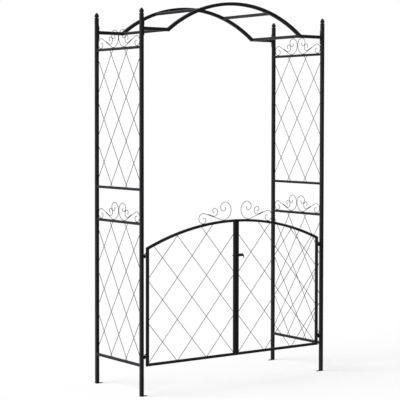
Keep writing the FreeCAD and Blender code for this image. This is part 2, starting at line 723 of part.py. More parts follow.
def bends(start, heading, moves):
    """Points in the XZ plane along straights (length, 0) and bends (radius, degrees, left is positive).

    A bend becomes chords whose ends lie on it.
    """
    points = [start]
    for size, turn in moves:
        point = points[-1]
        ahead = turned(Vector(1, 0, 0), heading)
        if turn == 0:
            points.append(point + ahead * size)
            continue
        centre = point + turned(ahead, math.copysign(90, turn)) * size
        widest = math.degrees(2 * math.acos(max(1 - sizes.bend_sag / size, 0.8)))
        chords = math.ceil(abs(turn) / widest)
        points += [centre + turned(point - centre, turn * (step + 1) / chords) for step in range(chords)]
        heading += turn
    return points


def section_at(point, along, radius, flats):
    """The section of a rod, square to the way it runs."""
    side = along.cross(Vector(0, 1, 0)).normalize()
    corners = []
    for step in range(flats + 1):
        angle = 2 * math.pi * (step + 0.5) / flats
        corners.append(point + side * (radius * math.cos(angle)) + Vector(0, 1, 0) * (radius * math.sin(angle)))
    return Part.makePolygon(corners)


def swept(points, radius, flats):
    """A rod along a path in the XZ plane, mitred at each of its points. The radius is that of its corners."""
    section = section_at(points[0], points[1] - points[0], radius, flats)
    return Part.makePolygon(points).makePipeShell([section], True, False, 1)


def straight_to_seat(centre, heading, radius, seat_radius):
    """How far a bend must be carried along a heading until it rests on its seat.

    The bend's centre is given for no straight at all. The seat is the level line z = 0 where seat_radius
    is 0, or else the circle of that radius whose top is at the origin.
    """
    ahead = turned(Vector(1, 0, 0), heading)
    if seat_radius == 0:
        return (radius - centre.z) / ahead.z
    arm = centre - Vector(0, 0, -seat_radius)
    along = arm.dot(ahead)
    reach = seat_radius + radius
    return -along + math.sqrt(along ** 2 - arm.Length ** 2 + reach ** 2)


def scroll_lines(foot, lean, slope, branch_start, widest, seat_radius=0):
    """The centre lines of half a scroll, as seen from the front, running outwards along +X from its foot.

    The large wire rests on the rail at its foot and at its end curl. The small one is welded along its
    straight.
    """
    inner = bends(foot, 180 + lean, [(share * widest, -turn) for share, turn in LARGE_CURL])
    rise = [(FOOT_BEND * widest, slope)]
    curl = [(share * widest, -turn) for share, turn in END_CURL]

    heading = lean + slope - sum(turn for share, turn in END_CURL[:BENDS_BEFORE_REST_COUNT])
    point = bends(foot, lean, rise + curl[:BENDS_BEFORE_REST_COUNT])[-1]
    resting = END_CURL[BENDS_BEFORE_REST_COUNT][0] * widest
    centre = point + turned(Vector(resting, 0, 0), heading - 90)
    length = straight_to_seat(centre, lean + slope, resting, seat_radius)
    outer = bends(foot, lean, rise + [(length, 0)] + curl)

    along = turned(Vector(1, 0, 0), lean + slope)
    beside = turned(Vector(sizes.scroll_wire + sizes.weld_gap, 0, 0), lean + slope + 90)
    start = min(branch_start, length - sizes.branch_tail)
    tail_end = bends(foot, lean, rise)[-1] + along * (start + sizes.branch_tail) + beside
    moves = [(sizes.branch_tail, 0)] + [(share * widest, -turn) for share, turn in SMALL_CURL]
    return [inner[:0:-1] + outer, bends(tail_end, lean + slope + 180, moves)]


def scroll_wires(lines):
    """Wires along the centre lines of a scroll."""
    corner = sizes.scroll_wire / 2 * outside(SCROLL_FACE_COUNT)
    return [swept(line, corner, SCROLL_FACE_COUNT) for line in lines]


def curl_for(width, slope):
    """The widest bend of a scroll on a level rail that is as wide as its bay."""
    widest = width / 4
    for attempt in range(12):
        line = scroll_lines(Vector(0, 0, 0), 0, slope, 0, widest)[0]
        across = [point.x for point in line]
        widest *= width / (max(across) - min(across) + sizes.scroll_wire)
    return widest, sizes.scroll_wire / 2 - min(across)


def make_scrolls():
    """Scrolls on the rails of the side panels and on the top rails of the gate."""
    lift = sizes.scroll_wire / 2 + sizes.weld_gap
    half_bay = places.post_face_y - sizes.side_scroll_gap - sizes.weld_gap
    widest, foot_x = curl_for(half_bay, sizes.side_scroll_slope)
    foot = Vector(foot_x + sizes.weld_gap, 0, 0)
    half = scroll_wires(scroll_lines(foot, 0, sizes.side_scroll_slope, sizes.side_branch_start, widest))
    other = [shape.mirror(Vector(0, 0, 0), Vector(1, 0, 0)) for shape in half]
    for name, rail in (("lower", "low_panel_top"), ("upper", "high_panel_top")):
        item = doc.addObject("Part::Feature", name + "_scroll")
        item.Shape = Part.makeCompound(half + other)
        item.Placement.Rotation = FreeCAD.Rotation(Vector(0, 0, 1), 90)
        put(item, "post_x", "0", f"{rail} + rail_tube / 2 + scroll_wire / 2 + weld_gap")
        keep(f"right_{name}_scroll", item)
        keep(f"left_{name}_scroll", mirrored(item, f"left_{name}_scroll", "x"))

    widest = sizes.gate_scroll_curl
    seat = places.gate_radius + sizes.gate_tube / 2 + lift
    foot_x = places.meeting_inner_x + sizes.gate_scroll_gap + widest + sizes.scroll_wire / 2
    foot = Vector(foot_x, 0, math.sqrt(seat ** 2 - foot_x ** 2) - seat)
    lean = -math.degrees(math.asin(foot_x / seat))
    slope = sizes.gate_scroll_slope
    item = doc.addObject("Part::Feature", "gate_scroll")
    item.Shape = Part.makeCompound(
        scroll_wires(scroll_lines(foot, lean, slope, sizes.gate_branch_start, widest, seat)))
    put(item, "0", "-post_y", "gate_centre_height + gate_tube / 2 + scroll_wire / 2 + weld_gap")
    keep("right_leaf_scroll", item)
    keep("left_leaf_scroll", mirrored(item, "left_leaf_scroll", "x"))


def lattice_wires(opening, column, row, parity, first_x, first_z):
    """Straight wires in two slanting families, cut to the opening that they are welded into.

    The families pass each other on either side of the opening's middle plane. Each crossing lies on a grid of
    columns and rows from first_x and first_z, where the sum of column and row has the stated parity.
    """
    box = opening.BoundBox
    wire = sizes.lattice_wire
    columns = math.ceil((box.XMax - first_x) / column) + 1
    rows = math.ceil((box.ZMax - first_z) / row) + 1
    reach = columns + rows + 2
    wires = []
    for lean in (1, -1):
        depth = lean * -(wire / 2 + sizes.weld_gap / 4)
        for step in range(-reach, reach + 1):
            if (step - parity) % 2:
                continue
            low = Vector(first_x - reach * column, depth, first_z + (step - lean * reach) * row)
            high = Vector(first_x + reach * column, depth, first_z + (step + lean * reach) * row)
            corner = wire / 2 * outside(LATTICE_FACE_COUNT)
            section = Part.Face(section_at(low, high - low, corner, LATTICE_FACE_COUNT))
            cut = section.extrude(high - low).common(opening)
            wires += [solid for solid in cut.Solids if solid.BoundBox.DiagonalLength > sizes.shortest_wire]
    return wires


def make_lattices():
    """Diamond lattices of straight wires in the side panels and in the gate leaves."""
    column = sizes.post_spacing_y / sizes.side_columns
    panels = {
        "lower": ("bottom_rail_height + low_panel_height / 2", places.low_panel_height),
        "upper": ("high_panel_bottom + high_panel_height / 2", places.high_panel_height),
    }
    for name, (middle, height) in panels.items():
        clear = height - sizes.rail_tube
        low = -clear / 2
        corner = Vector(-places.post_face_y, -sizes.rail_tube / 2, low)
        opening = Part.makeBox(2 * places.post_face_y, sizes.rail_tube, clear, corner)
        row = (clear - 2 * sizes.side_inset) / sizes.side_rows
        item = doc.addObject("Part::Feature", name + "_lattice")
        item.Shape = Part.makeCompound(lattice_wires(opening, column, row, 1, 0, low + sizes.side_inset))
        item.Placement.Rotation = FreeCAD.Rotation(Vector(0, 0, 1), 90)
        put(item, "post_x", "0", middle)
        keep(f"right_{name}_lattice", item)
        keep(f"left_{name}_lattice", mirrored(item, f"left_{name}_lattice", "x"))

    opening = leaf_opening()
    column = (places.hinge_stile_x - places.meeting_stile_x) / sizes.gate_columns
    item = doc.addObject("Part::Feature", "gate_lattice")
    item.Shape = Part.makeCompound(
        lattice_wires(opening, column, sizes.gate_row, 0, places.meeting_stile_x, 0))
    put(item, "0", "-post_y", "gate_low")
    keep("right_leaf_lattice", item)
    keep("left_leaf_lattice", mirrored(item, "left_leaf_lattice", "x"))


def leaf_opening():
    """The space inside the frame of the right leaf, with z counted from the centre of its bottom rail."""
    half = sizes.gate_tube / 2
    inner = places.meeting_inner_x
    outer = places.hinge_stile_x - half
    radius = places.gate_radius - half
    centre = places.gate_arc_centre - places.gate_low

    def arc_point(x):
        return Vector(x, -half, centre + math.sqrt(radius ** 2 - x ** 2))

    corners = [Vector(inner, -half, half), Vector(outer, -half, half)]
    edges = [
        Part.LineSegment(corners[0], corners[1]).toShape(),
        Part.LineSegment(corners[1], arc_point(outer)).toShape(),
        Part.Arc(arc_point(outer), arc_point((inner + outer) / 2), arc_point(inner)).toShape(),
        Part.LineSegment(arc_point(inner), corners[0]).toShape(),
    ]
    return Part.Face(Part.Wire(edges)).extrude(Vector(0, sizes.gate_tube, 0))


def check_and_write():
    """Stop at anything that failed, then write each sub-part to its own file."""
    doc.recompute()
    for item in doc.Objects:
        if "Invalid" in item.State or "Error" in item.State:
            raise RuntimeError(f"{item.Name} did not recompute: {item.State}")
    os.makedirs("parts", exist_ok=True)
    for label, item in nodes.items():
        shape = item.Shape
        if shape.isNull() or not shape.isValid() or not shape.Solids:
            raise RuntimeError(f"{label} has no valid solid")
    for label, item in sorted(nodes.items()):
        item.Shape.exportStep(f"parts/{label}.step")
    print(f"{len(nodes)} sub-parts, {sum(len(item.Shape.Solids) for item in nodes.values())} solids")


make_posts()
make_foot_plates()
make_finials()
make_side_rails()
make_arches()
make_arch_fixings()
make_leaves()
make_hinges()
make_latch()
make_scrolls()
make_lattices()
check_and_write()
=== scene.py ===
# Dresses a garden arch with a two-leaf gate: powder-coated tubes, welded wires, finials, hinges and latch.
# Lengths are in metres. +X is to the right, +Y to the rear and +Z up, with the gate between the front posts.
import json
import math

import bmesh
import bpy
import numpy as np
from bpy.props import FloatProperty, FloatVectorProperty, IntProperty, PointerProperty
from mathutils import Matrix, Vector


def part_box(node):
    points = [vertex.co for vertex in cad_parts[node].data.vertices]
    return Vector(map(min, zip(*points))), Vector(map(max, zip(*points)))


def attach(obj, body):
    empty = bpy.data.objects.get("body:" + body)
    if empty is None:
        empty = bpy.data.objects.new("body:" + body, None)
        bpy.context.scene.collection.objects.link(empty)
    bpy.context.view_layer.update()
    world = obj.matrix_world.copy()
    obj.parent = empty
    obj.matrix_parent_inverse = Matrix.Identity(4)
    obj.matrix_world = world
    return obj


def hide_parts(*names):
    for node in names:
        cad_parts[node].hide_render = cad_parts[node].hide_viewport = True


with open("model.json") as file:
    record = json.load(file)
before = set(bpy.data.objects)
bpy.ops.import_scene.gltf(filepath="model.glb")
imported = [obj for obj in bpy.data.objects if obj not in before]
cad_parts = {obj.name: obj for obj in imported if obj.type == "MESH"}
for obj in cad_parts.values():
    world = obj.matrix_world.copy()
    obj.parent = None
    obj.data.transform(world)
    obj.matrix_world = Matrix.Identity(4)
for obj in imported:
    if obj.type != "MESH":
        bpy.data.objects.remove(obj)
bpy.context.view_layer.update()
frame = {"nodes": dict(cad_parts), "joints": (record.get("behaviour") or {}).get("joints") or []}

bl_info = {
    "name": "Garden Arch with Gate",
    "version": (1, 0, 0),
    "blender": (4, 5, 0),
    "location": "3D Viewport > Sidebar > Garden Arch",
    "description": "Dresses the tubes, wires, finials, hinges and latch of a garden arch with a gate",
    "category": "Object",
}

ENDS = ("front", "rear")
HALVES = ("lower", "upper")
SIDES = (("left", -1), ("right", 1))
ACROSS_X = Vector((1, 0, 0))
ACROSS_Y = Vector((0, 1, 0))
UPWARDS = Vector((0, 0, 1))

# How finely the pieces are made.
ARC_STATIONS = 48
CORNER_STEPS = 4
CHORD_DEGREES = 7.5
ROUND_STEPS = 32
WELD_STEPS = 24
BEAD_FACES = 7
BOLT_FACES = 24
HEXAGON = 6
SPOT_SEGMENTS = 8
SPOT_RINGS = 6
PETAL_STEPS = 8
BLOCK_SEGMENTS = 3
PLATE_SEGMENTS = 2
CURL_TRIES = 12

# Faces that meet at more degrees than this have a sharp edge between them.
TUBE_CREASE = 32
PLATE_CREASE = 40
FINIAL_CREASE = 45
ROD_CREASE = 50
BEAD_CREASE = 70

# Faces of a plate that meet at fewer degrees than this are one face.
FLAT_DEGREES = 1

# How near points are one point, in a shape made here and in a CAD node, and how near a face they lie in it.
SAME_POINT = 1e-6
SAME_CAD_POINT = 1e-5
SAME_FACE = 1e-4

# Wires touch where their centre lines come nearer than this many radii. Those whose cross product is shorter
# than the second number run side by side and are left out.
TOUCHING = 3
PARALLEL = 1e-6

# How uneven a weld bead is along its length, as the scale of its noise.
BEAD_NOISE = 900.0

# Shares of a weld spot's or a bead's full radius, and how far a spot is drawn out along its wire.
SPOT_AT_END = 0.95
SPOT_AT_CROSSING = 0.8
SPOT_AT_BRANCH = 0.75
SPOT_STRETCH = 1.35
BEAD_AT_BARREL = 0.9
BEAD_AT_KEEPER = 0.7

# Where a small scroll is spot-welded, as shares of its tail.
BRANCH_SPOTS = (0.1, 0.9)

# The corner radius of the weld around a hinge eye's web, as a share of its sides.
EYE_WELD_CORNER = 0.1

# A wire's end: how much of its radius the rounding takes up, and how thick it is at the very end.
END_ROUNDING = 0.35
END_THICKNESS = 0.72

# A bolt head's washer face and chamfered top, as shares of the head's radius over its corners.
WASHER_SHARE = 0.86
CHAMFER_SHARE = 0.84

# The lower the number, the fuller the petals of a finial and the narrower the creases between them.
PETAL_FULLNESS = 0.7

# How the coats vary over a surface: each noise is read over its span, and it moves the colour by a share and
# the roughness by a step. The speckle that follows the peel is painted shade and highlight of the orange-peel
# bumps; the clouds are drifts in the coat's own tone.
PEEL_SPAN = (0.35, 0.65)
CLOUD_SPAN = (0.3, 0.7)
GLOSS_SPAN = (0.25, 0.75)
PAINTED_PEEL_SHADE_TONES = (-0.3, 0.3)
CLOUD_TONES = (0.2, 0.8)
TONE_SPREAD = 0.4
GLOSS_DRIFT = 0.05

# How much roughness full dust adds, and how much full rubbing takes away.
DUST_DULLS = 0.6
RUBBING_POLISHES = 0.25

# How strongly the orange peel shows, and the strength of the reflections in metal.
PEEL_STRENGTH = 0.9
METAL_SHINE = 0.5

# The floor lies just under the feet, and the camera sees to its far edge.
FLOOR_HEIGHT = -0.0002
FAR_END = 200.0

# Bends of the wire scrolls, outwards from the foot: the radius as a share of the widest one, and degrees.
LARGE_CURL = [(1, 80), (0.8, 80), (0.57, 80), (0.4, 80), (0.295, 80), (0.215, 80)]
FOOT_BEND = 0.54
END_CURL = [(0.54, 85), (0.5, 75), (0.445, 75), (0.3, 75), (0.2, 75), (0.215, 40)]
SMALL_CURL = [(0.41, 117), (0.36, 90), (0.215, 90), (0.225, 75)]

# The end curl rests on its rail in the bend after this many others.
BENDS_BEFORE_REST = 2

# Half the outline of a finial, from its collar to its tip: radius, height above the post, and how far the
# petals swell or rise there, all in metres.
FINIAL_OUTLINE = [
    (0.0000, 0.0035, 0.0, 0.0),
    (0.0082, 0.0035, 0.0, 0.0),
    (0.0084, 0.0040, 0.0, 0.0),
    (0.0078, 0.0048, 0.0001, 0.0),
    (0.0080, 0.0060, 0.0003, 0.0),
    (0.0092, 0.0074, 0.0005, 0.0),
    (0.0109, 0.0088, 0.0006, 0.0),
    (0.0123, 0.0100, 0.0006, 0.0003),
    (0.0128, 0.0112, 0.0006, 0.0007),
    (0.0127, 0.0119, 0.0006, 0.0009),
    (0.0121, 0.0121, 0.0005, 0.0008),
    (0.0114, 0.0113, 0.0003, 0.0003),
    (0.0109, 0.0110, 0.0, 0.0),
    (0.0112, 0.0126, 0.0003, 0.0),
    (0.0117, 0.0144, 0.0005, 0.0),
    (0.0117, 0.0162, 0.0005, 0.0),
    (0.0112, 0.0186, 0.0005, 0.0),
    (0.0101, 0.0214, 0.0004, 0.0),
    (0.0085, 0.0243, 0.0003, 0.0),
    (0.0065, 0.0272, 0.0002, 0.0),
    (0.0042, 0.0299, 0.0, 0.0),
    (0.0019, 0.0320, 0.0, 0.0),
    (0.0000, 0.0329, 0.0, 0.0),
]


def length(name, description, metres):
    """A length that a user can change."""
    return FloatProperty(
        name=name, description=description, default=metres, min=0.0, precision=4, step=0.1, unit="LENGTH")


def share(name, description, number, most=1.0):
    """A plain number that a user can change."""
    return FloatProperty(name=name, description=description, default=number, min=0.0, max=most, precision=3)


def angle(name, description, degrees):
    """An angle that a user can change."""
    return FloatProperty(name=name, description=description, default=math.radians(degrees), unit="ROTATION")


def colour(name, description, rgb):
    """A colour that a user can change."""
    return FloatVectorProperty(
        name=name, description=description, default=rgb, min=0.0, max=1.0, size=3, subtype="COLOR")


class GardenArchTubes(bpy.types.PropertyGroup):
    """Square tubes, the shape that they are bent to, and the welds between them."""
    post: length("Post Tube", "Outside of the post and arch tubes", 0.018)
    rail: length("Rail Tube", "Outside of the rails, the cross bars and the gate's tubes", 0.014)
    wall: length("Wall", "Wall of every tube", 0.001)
    corner: length("Corner Radius", "Radius of a tube's long edges", 0.0010)
    eased: length("Eased End", "How far the end of a straight tube is drawn in", 0.0003)
    plate_edge: length("Plate Edge", "Radius of the edges of the plates", 0.0004)
    arch_rise: length("Arch Rise", "Top of an arch's centre line above its end bars", 0.158)
    gate_side: length("Gate Side Height", "Centre line of the gate's top rail at the hinge stile", 0.779)
    gate_middle: length("Gate Middle Height", "Centre line of the gate's top rails between the leaves", 0.902)


class GardenArchWelds(bpy.types.PropertyGroup):
    """Beads where tubes meet, and spots where wires do."""
    bead: length("Bead Radius", "Radius of the weld bead around a joint", 0.0016)
    mitre_share: share("Mitre Share", "Bead at a mitre, as a share of the one at other joints", 0.6)
    spacing: length("Ripple Spacing", "Distance between the ripples of a bead", 0.0020)
    ripple: share("Ripple", "How much the bead's radius varies", 0.4)
    spot: length("Spot Radius", "Radius of a weld spot between wires, or where a wire meets a tube", 0.0021)


class GardenArchWires(bpy.types.PropertyGroup):
    """The straight wires of the lattices and the bent ones of the scrolls."""
    radius: length("Wire Radius", "Radius of the lattice and scroll wires", 0.0015)
    faces: IntProperty(name="Faces", description="Faces around a wire", default=12, min=6, max=32)
    sunk: length("Sunk End", "How far a lattice wire's end reaches into the tube's wall", 0.0008)
    weld_gap: length("Weld Gap", "Room between a wire and what it is welded to", 0.0001)
    side_slope: angle("Side Scroll Slope", "Slope of the straight stretch of a side scroll", 26.6)
    side_branch: length("Side Branch Start", "Where the small scroll leaves the straight stretch", 0.031)
    gate_curl: length("Gate Curl", "Radius of the widest bend of a gate scroll", 0.056)
    gate_slope: angle("Gate Scroll Slope", "Slope of the straight stretch of a gate scroll", 21.8)
    gate_branch: length("Gate Branch Start", "Where the small scroll leaves the straight stretch", 0.064)
    tail: length("Branch Tail", "Stretch over which the small wire is welded along the large one", 0.034)


class GardenArchFittings(bpy.types.PropertyGroup):
    """Finials, bolts, hinges and latch."""
    petals: IntProperty(name="Petals", description="Petals around a finial", default=8, min=3, max=16)
    collar: length("Finial Collar", "Side of the square collar on the post", 0.020)
    collar_edge: length("Collar Edge", "Radius of the collar's edges", 0.0007)
    washer: length("Washer Face", "Thickness of the round face under a bolt head", 0.0006)
    chamfer: length("Head Chamfer", "Height of the chamfer on a bolt head", 0.0008)
    bolt_shank: length("Bolt Shank", "Radius of the arch bolts' shank", 0.003)
    pin: length("Hinge Pin", "Radius of the hinge pins", 0.003)
    pin_bend: length("Pin Bend", "Radius of the bend of a hinge pin's centre line", 0.006)
    eye: length("Hinge Eye", "Outer radius of a hinge eye", 0.006)
    eye_web: length("Eye Web", "Width of the web between a hinge eye and its post", 0.006)
    play: length("Play", "Play between a rod and its bore", 0.00005)
    bolt_rod: length("Latch Bolt", "Radius of the latch bolt", 0.0025)
    bolt_bend: length("Latch Bend", "Radius of the bend of the latch bolt's centre line", 0.007)
    slot_play: length("Slot Play", "Play between the latch bolt and each side of the barrel's slot", 0.0005)
    edge: length("Edge", "Chamfer on the edges of the turned pieces", 0.0006)


class GardenArchPaint(bpy.types.PropertyGroup):
    """Colours and gloss."""
    coat: colour("Powder Coat", "Colour of the powder coat on tubes and wires", (0.0180, 0.0188, 0.0215))
    coat_gloss: share("Coat Roughness", "Roughness of the powder coat", 0.40)
    coat_shine: share("Coat Shine", "Strength of the reflections in the powder coat", 0.06)
    fitting: colour("Fitting Paint", "Colour of the hinges and the latch", (0.0190, 0.0196, 0.0215))
    fitting_gloss: share("Fitting Roughness", "Roughness of the hinges and the latch", 0.34)
    plastic: colour("Finial Plastic", "Colour of the moulded finials", (0.0215, 0.0220, 0.0235))
    plastic_gloss: share("Finial Roughness", "Roughness of the finials", 0.42)
    plating: colour("Black Plating", "Colour of the plated bolts and nuts", (0.1100, 0.1120, 0.1200))
    plating_gloss: share("Plating Roughness", "Roughness of the bolts and nuts", 0.36)
    sleeve_gloss: share("Sleeve Roughness", "Roughness of the sleeves inside the posts", 0.5)
    dust: colour("Dust", "Colour of the dust that settles on the coat", (0.2300, 0.2150, 0.1900))
    # The worn colours and the wear amount lighten the sharp edges: partly rubbed coat, partly a painted edge
    # highlight.
    worn_and_highlit_coat: colour("Worn Edge", "Colour of the coat where it is rubbed thin", (0.0600, 0.0600, 0.0640))
    worn_and_highlit_plating: colour("Worn Plating", "Colour of the plating where it is rubbed", (0.32, 0.32, 0.33))
    dust_amount: share("Dust Amount", "How much dust lies on faces that look up", 0.10)
    wear_and_highlight_amount: share("Wear Amount", "How much the sharp edges are rubbed", 0.35)


class GardenArchStage(bpy.types.PropertyGroup):
    """Camera, floor and lights."""
    camera_place: FloatVectorProperty(
        name="Camera Place", description="Where the camera stands",
        default=(-4.5507, -6.0758, 1.4478), size=3, subtype="TRANSLATION", unit="LENGTH")
    yaw: angle("Camera Yaw", "Turn of the camera to the right of the gate's own axis", 36.314)
    pitch: angle("Camera Pitch", "Tilt of the camera, upwards", -2.063)
    roll: angle("Camera Roll", "Roll of the camera", 0.080)
    lens: FloatProperty(
        name="Lens", description="Focal length of the camera", default=121.1, min=1.0, unit="CAMERA")
    shift: FloatProperty(name="Vertical Shift", description="Shift of the lens upwards", default=-0.075)
    floor_size: length("Floor Size", "Side of the pale floor", 60.0)
    floor_shade: share("Floor Shade", "Brightness of the pale floor's colour", 0.45)
    backdrop: colour("Backdrop", "Colour behind the object", (1.0, 1.0, 1.0))
    ambient: share("Ambient", "Even light from all around", 0.22, 4.0)
    key_light: share("Key Light", "Light from the left rear, for a face square to it", 1.3, 4.0)
    key_from: FloatVectorProperty(
        name="Key Light From", description="Direction that the key light comes from",
        default=(-0.80, 0.20, 0.57), size=3, subtype="DIRECTION")
    softness: angle("Light Softness", "Width of the key light as seen from the object", 50)


class GardenArchSettings(bpy.types.PropertyGroup):
    """All sizes and colours of the garden arch."""
    tubes: PointerProperty(type=GardenArchTubes, name="Tubes", description="Tubes and plates")
    welds: PointerProperty(type=GardenArchWelds, name="Welds", description="Beads and spots")
    wires: PointerProperty(type=GardenArchWires, name="Wires", description="Lattices and scrolls")
    fittings: PointerProperty(type=GardenArchFittings, name="Fittings", description="Small pieces")
    paint: PointerProperty(type=GardenArchPaint, name="Paint", description="Colours and gloss")
    stage: PointerProperty(type=GardenArchStage, name="Stage", description="Camera, floor and lights")


def settings():
    """The sizes and colours of this scene."""
    return bpy.context.scene.garden_arch


def place(tree, kind, links=(), **features):
    """Add a node. Links are values or other nodes' outputs for its inputs, and features its settings."""
    node = tree.nodes.new(kind)
    for key, value in features.items():
        setattr(node, key, value)
    for key, value in dict(links).items():
        if isinstance(value, bpy.types.NodeSocket):
            tree.links.new(value, node.inputs[key])
        else:
            node.inputs[key].default_value = value
    return node


def maths(tree, operation, first, second=0.0):
    """The result of one step of arithmetic."""
    return place(tree, "ShaderNodeMath", {0: first, 1: second}, operation=operation).outputs[0]


def ranged(tree, value, given_range, wanted_range=(0.0, 1.0)):
    """A value stretched from one range to another."""
    return place(tree, "ShaderNodeMapRange", {
        "Value": value, "From Min": given_range[0], "From Max": given_range[1],
        "To Min": wanted_range[0], "To Max": wanted_range[1]}).outputs["Result"]


def noise(tree, scale, detail, roughness=0.5):
    """The strength of a noise that is fixed to the object."""
    return place(tree, "ShaderNodeTexNoise", {
        "Vector": place(tree, "ShaderNodeTexCoord").outputs["Object"], "Scale": scale, "Detail": detail,
        "Roughness": roughness}).outputs["Fac"]


def blended(tree, mask, first, second):
    """Two colours, mixed by a mask."""
    return place(tree, "ShaderNodeMix", {0: mask, 6: first, 7: second}, data_type="RGBA").outputs[2]


def new_tree(name, kind, inputs, outputs):
    """An empty node tree with named sockets, and its input and output nodes."""
    tree = bpy.data.node_groups.new(name, kind)
    for title, (socket_kind, value) in inputs.items():
        socket = tree.interface.new_socket(title, in_out="INPUT", socket_type=socket_kind)
        if value is not None:
            socket.default_value = value
    for title, socket_kind in outputs.items():
        tree.interface.new_socket(title, in_out="OUTPUT", socket_type=socket_kind)
    return tree, tree.nodes.new("NodeGroupInput").outputs, tree.nodes.new("NodeGroupOutput")


def coat_grain_tree(name):
    """The fine orange peel of a baked coat, and slow drifts in how it took."""
    tree, given, result = new_tree(
        name, "ShaderNodeTree",
        {"Peel Size": ("NodeSocketFloat", 0.0016), "Cloud Size": ("NodeSocketFloat", 0.08)},
        {"Peel": "NodeSocketFloat", "Cloud": "NodeSocketFloat"})
    for title, detail, roughness in (("Peel", 3.0, 0.55), ("Cloud", 4.0, 0.6)):
        scale = maths(tree, "DIVIDE", 1.0, given[title + " Size"])
        tree.links.new(noise(tree, scale, detail, roughness), result.inputs[title])
    return tree


def settled_dust_tree(name):
    """Dust in patches on the faces that look up."""
    looking_up = (0.35, 0.95)
    patch_edges = (0.38, 0.72)
    tree, given, result = new_tree(
        name, "ShaderNodeTree",
        {"Amount": ("NodeSocketFloat", 0.1), "Patch Size": ("NodeSocketFloat", 0.03)},
        {"Dust": "NodeSocketFloat"})
    normal = place(tree, "ShaderNodeNewGeometry").outputs["Normal"]
    up = ranged(tree, place(tree, "ShaderNodeSeparateXYZ", {0: normal}).outputs["Z"], looking_up)
    scale = maths(tree, "DIVIDE", 1.0, given["Patch Size"])
    patches = noise(tree, scale, detail=5.0, roughness=0.65)
    lying = maths(tree, "MULTIPLY", up, ranged(tree, patches, patch_edges))
    tree.links.new(maths(tree, "MULTIPLY", lying, given["Amount"]), result.inputs["Dust"])
    return tree


def rubbed_and_highlit_edge_tree(name):
    """Sharp edges, broken up by a noise, where hands and packing have rubbed the coat, and a painted
    highlight along them.
    """
    edge_sharpness = (0.99, 0.86)
    break_scale = 90.0
    break_edges = (0.42, 0.62)
    tree, given, result = new_tree(
        name, "ShaderNodeTree",
        {"Width": ("NodeSocketFloat", 0.0012), "Amount": ("NodeSocketFloat", 0.3)},
        {"Rubbed_And_Highlit": "NodeSocketFloat"})
    rounded = place(tree, "ShaderNodeBevel", {"Radius": given["Width"]}, samples=6)
    true_normal = place(tree, "ShaderNodeNewGeometry").outputs["True Normal"]
    along = place(tree, "ShaderNodeVectorMath", {0: rounded.outputs["Normal"], 1: true_normal},
                  operation="DOT_PRODUCT")
    edge = ranged(tree, along.outputs["Value"], edge_sharpness)
    kept = ranged(tree, noise(tree, break_scale, detail=4.0), break_edges)
    worn_and_highlit = maths(tree, "MULTIPLY", edge, kept)
    tree.links.new(maths(tree, "MULTIPLY", worn_and_highlit, given["Amount"]), result.inputs["Rubbed_And_Highlit"])
    return tree


def shared_tree(name):
    """One of the node trees, built on its first use."""
    makers = {
        "coat_grain": coat_grain_tree,
        "settled_dust": settled_dust_tree,
        "rubbed_edge": rubbed_and_highlit_edge_tree,
        "weld_bead": weld_bead_tree,
        "bent_wire": bent_wire_tree,
        "bolt_heads": bolt_heads_tree,
    }
    return bpy.data.node_groups.get(name) or makers[name](name)


def coated(name, base, roughness, peel_size, peel_height, metallic=0.0, worn_and_highlit=None):
    """A finish with orange peel shaded by painted speckle, drifting gloss, rubbed edges with a painted
    highlight, and a little dust.
    """
    material = bpy.data.materials.get(name)
    if material:
        return material
    paint = settings().paint
    material = bpy.data.materials.new(name)
    material.use_nodes = True
    tree = material.node_tree
    shader = tree.nodes["Principled BSDF"]
    shader.inputs["Metallic"].default_value = metallic
    shader.inputs["Specular IOR Level"].default_value = METAL_SHINE if metallic else paint.coat_shine

    def effect(group, **given):
        node = tree.nodes.new("ShaderNodeGroup")
        node.node_tree = shared_tree(group)
        for title, value in given.items():
            node.inputs[title.replace("_", " ")].default_value = value
        return node.outputs

    grain = effect("coat_grain", Peel_Size=peel_size)
    dust = effect("settled_dust", Amount=paint.dust_amount)["Dust"]
    # This mask lightens the sharp edges: partly worn coat, partly a painted edge highlight.
    rubbed = effect("rubbed_edge", Amount=paint.wear_and_highlight_amount)["Rubbed_And_Highlit"]

    # The speckle follows the peel's height: painted shade and highlight of the orange-peel bumps, not a tone
    # of the coat.
    painted_peel_shade = ranged(tree, grain["Peel"], PEEL_SPAN, PAINTED_PEEL_SHADE_TONES)
    clouds = ranged(tree, grain["Cloud"], CLOUD_SPAN, CLOUD_TONES)
    deep = [(1 - TONE_SPREAD) * part for part in base]
    light = [(1 + TONE_SPREAD) * part for part in base]
    tone_drift_and_peel_shade = blended(tree, maths(tree, "ADD", clouds, painted_peel_shade), (*deep, 1), (*light, 1))
    with_wear = blended(tree, rubbed, tone_drift_and_peel_shade, (*(worn_and_highlit or paint.worn_and_highlit_coat), 1))
    with_dust = blended(tree, dust, with_wear, (*paint.dust, 1))
    tree.links.new(with_dust, shader.inputs["Base Color"])

    gloss = ranged(tree, grain["Cloud"], GLOSS_SPAN, (roughness - GLOSS_DRIFT, roughness + GLOSS_DRIFT))
    dulled = maths(tree, "ADD", gloss, maths(tree, "MULTIPLY", dust, DUST_DULLS))
    polished = maths(tree, "SUBTRACT", dulled, maths(tree, "MULTIPLY", rubbed, RUBBING_POLISHES))
    tree.links.new(polished, shader.inputs["Roughness"])

    bump = place(tree, "ShaderNodeBump", {
        "Strength": PEEL_STRENGTH, "Distance": peel_height, "Height": grain["Peel"]})
    tree.links.new(bump.outputs["Normal"], shader.inputs["Normal"])
    return material


